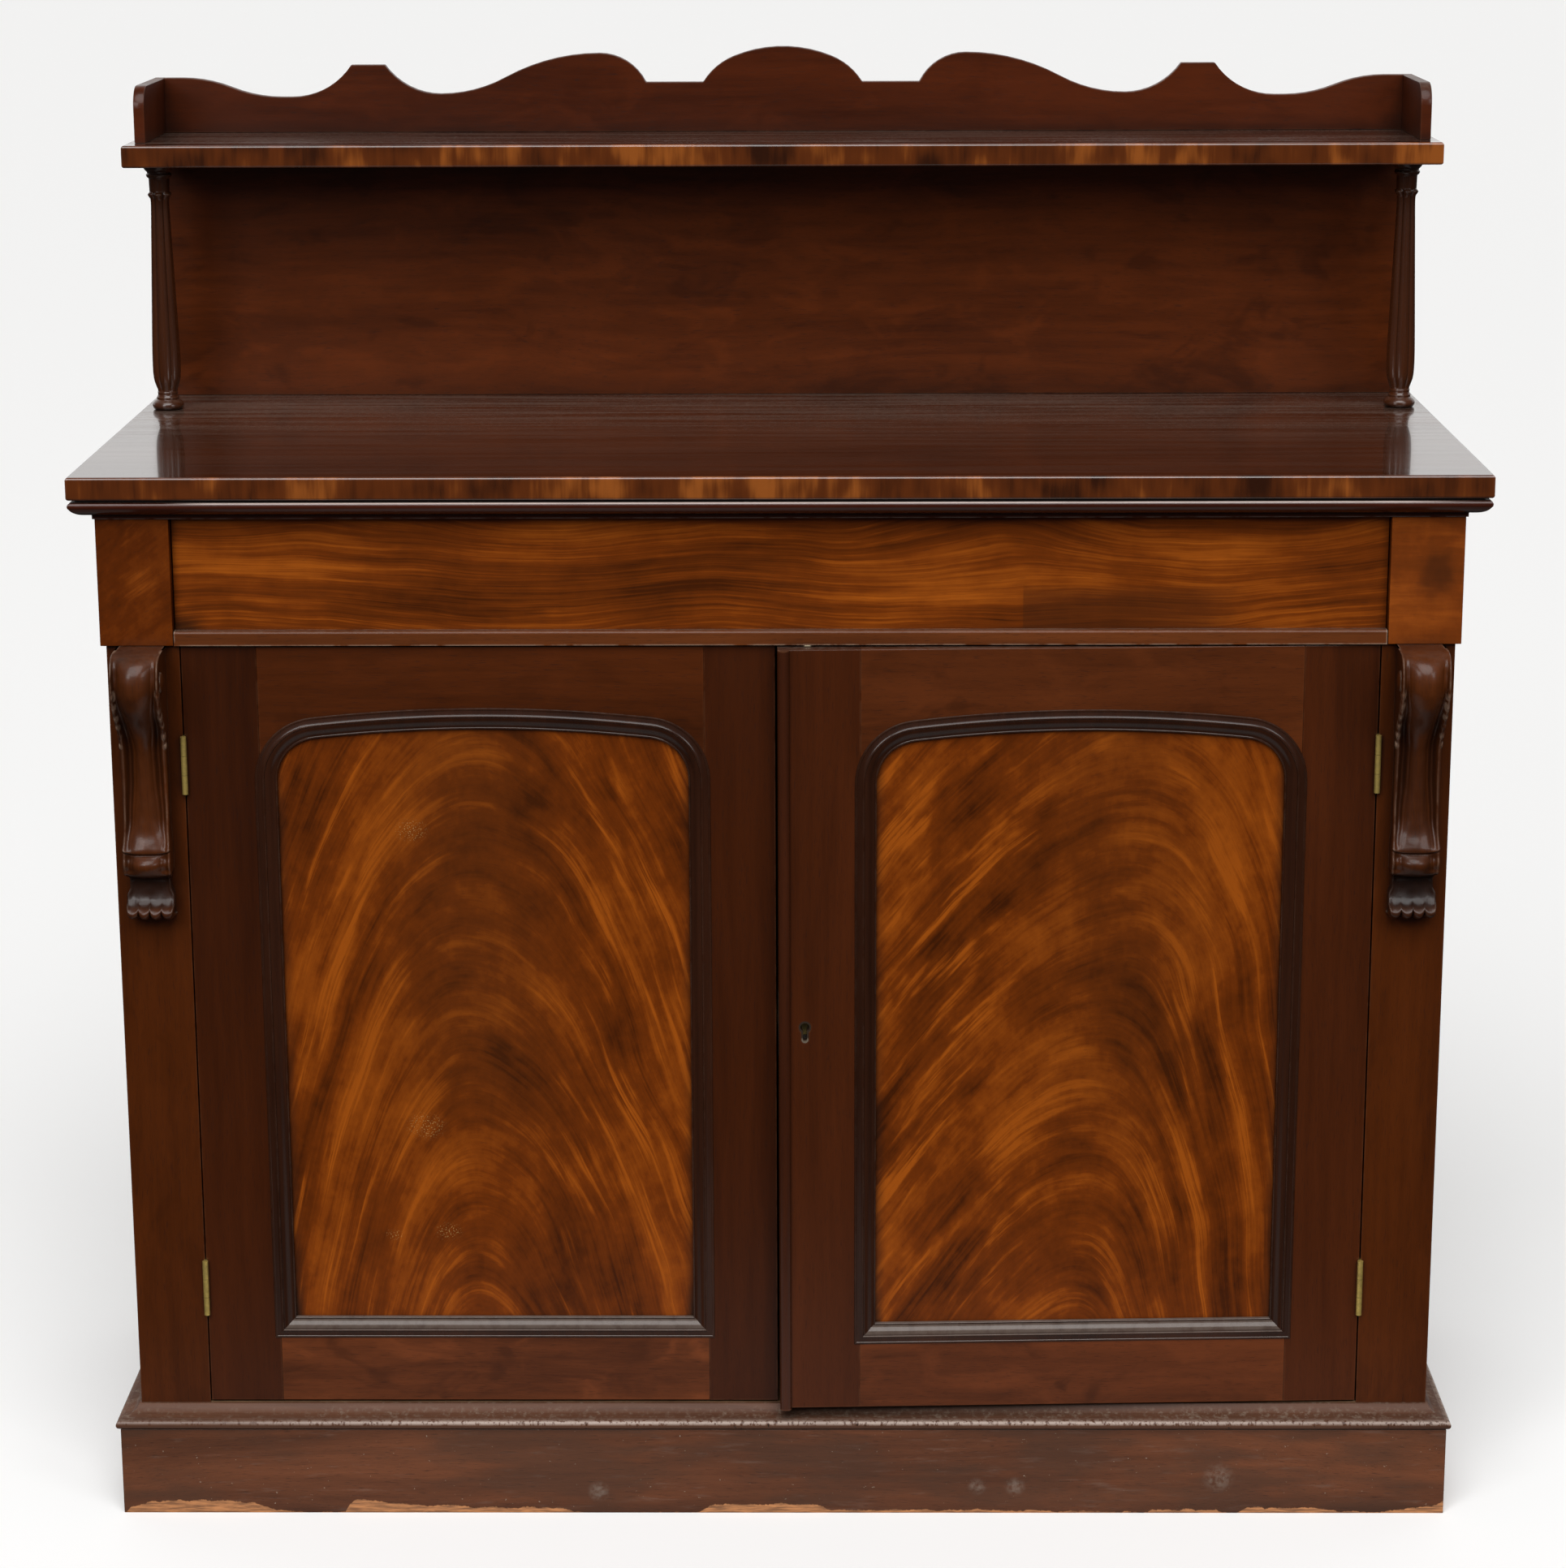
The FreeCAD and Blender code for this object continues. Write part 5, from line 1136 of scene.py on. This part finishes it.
# ---- stage ----
# The camera: focal length in heights of its picture, place in metres, turns in radians.
FOCAL = 4776 / 1932
EYE = (0.03326, -3.50065, 1.50949)
PITCH, YAW, ROLL = 0.24593, 0.009376, -0.00349
# Soft boxes: place, target, width in metres and power in watts.
BOXES = {
    "left_box": ((-2.2, -3.6, 2.6), (0, -0.1, 0.7), 1.6, 46),
    "right_box": ((2.6, -3.2, 2.4), (0, -0.1, 0.7), 1.4, 28),
}


def add_lamp(light, place, target):
    lamp = bpy.data.objects.new(light.name, light)
    bpy.context.scene.collection.objects.link(lamp)
    lamp.location = place
    lamp.rotation_euler = (Vector(target) - Vector(place)).to_track_quat("-Z", "Y").to_euler()


def floor_finish():
    """Pale paper. Only the part near the chiffonier is bright enough to show in its polish."""
    t, place = begin("paper")
    x, y, z = t.split(place)
    far = (x * x + y * y) ** 0.5
    bounce = t.blend(far.span(0.5, 1.05), (0.46, 0.45, 0.44), (0.03, 0.03, 0.03))
    end(t, t.blend(t.add("LightPath", "Is Camera Ray"), bounce, (0.9, 0.897, 0.893)), 0.9, specular=0)


class CHIFFONIER_OT_stage(bpy.types.Operator):
    """Pale floor, soft studio light and the camera"""

    bl_idname = "chiffonier.stage"
    bl_label = "Stage"

    def execute(self, context):
        scene = context.scene
        scene.view_settings.view_transform = "Standard"
        floor_finish()
        bm = bmesh.new()
        bmesh.ops.create_grid(bm, x_segments=1, y_segments=1, size=150)
        mesh = bpy.data.meshes.new("floor")
        bm.to_mesh(mesh)
        bm.free()
        mesh.materials.append(bpy.data.materials["paper"])
        floor = bpy.data.objects.new("floor", mesh)
        scene.collection.objects.link(floor)
        world = bpy.data.worlds.new("studio")
        scene.world = world
        world.use_nodes = True
        background = world.node_tree.nodes["Background"]
        background.inputs["Color"].default_value = (1, 0.99, 0.98, 1)
        t = Tree(world.node_tree)
        x, y, z = t.split(t.add("TexCoord", "Generated"))
        seen = t.add("LightPath", "Is Camera Ray").math("MAXIMUM", y.span(0.25, 0.6) * z.span(0.85, 0.45))
        feed(world.node_tree, background.inputs["Strength"], seen * 0.74 + 0.16)
        sun = bpy.data.lights.new("overhead", "SUN")
        sun.energy = 2.9
        sun.angle = math.radians(50)
        add_lamp(sun, (0, -3, 4), (0, 0, 0.2))
        for name, (place, target, size, power) in BOXES.items():
            box = bpy.data.lights.new(name, "AREA")
            box.shape = "RECTANGLE"
            box.size = size
            box.size_y = size * 0.8
            box.energy = power
            add_lamp(box, place, target)
        camera = bpy.data.cameras.new("camera")
        camera.sensor_width = 36
        camera.lens = FOCAL * camera.sensor_width
        camera.clip_end = 500
        eye = bpy.data.objects.new("camera", camera)
        scene.collection.objects.link(eye)
        eye.location = EYE
        level = Matrix.Rotation(YAW, 4, "Z") @ Matrix.Rotation(math.pi / 2 - PITCH, 4, "X")
        eye.rotation_euler = (level @ Matrix.Rotation(ROLL, 4, "Z")).to_euler()
        scene.camera = eye
        return {"FINISHED"}


# ---- panel and run ----
CLASSES = (
    CHIFFONIER_PG_looks,
    CHIFFONIER_OT_finishes,
    CHIFFONIER_OT_corbels,
    CHIFFONIER_OT_columns,
    CHIFFONIER_OT_case_mouldings,
    CHIFFONIER_OT_panel_mouldings,
    CHIFFONIER_OT_catch,
    CHIFFONIER_OT_hinge_screws,
    CHIFFONIER_OT_stage,
)
# The operators in the order that main calls them.
STEPS = (
    "finishes", "corbels", "columns", "case_mouldings", "panel_mouldings", "catch", "hinge_screws", "stage",
)


class CHIFFONIER_PT_panel(bpy.types.Panel):
    """The chiffonier's pieces and settings"""

    bl_idname = "CHIFFONIER_PT_panel"
    bl_label = "Chiffonier"
    bl_space_type = "VIEW_3D"
    bl_region_type = "UI"
    bl_category = "Chiffonier"

    def draw(self, context):
        for name in CHIFFONIER_PG_looks.__annotations__:
            self.layout.prop(context.scene.chiffonier_looks, name)
        for step in STEPS:
            self.layout.operator("chiffonier." + step)


def register():
    for kind in (*CLASSES, CHIFFONIER_PT_panel):
        bpy.utils.register_class(kind)
    bpy.types.Scene.chiffonier_looks = PointerProperty(type=CHIFFONIER_PG_looks)


def unregister():
    del bpy.types.Scene.chiffonier_looks
    for kind in (CHIFFONIER_PT_panel, *reversed(CLASSES)):
        bpy.utils.unregister_class(kind)


def main():
    register()
    for step in STEPS:
        getattr(bpy.ops.chiffonier, step)()


if __name__ == "__main__":
    main()
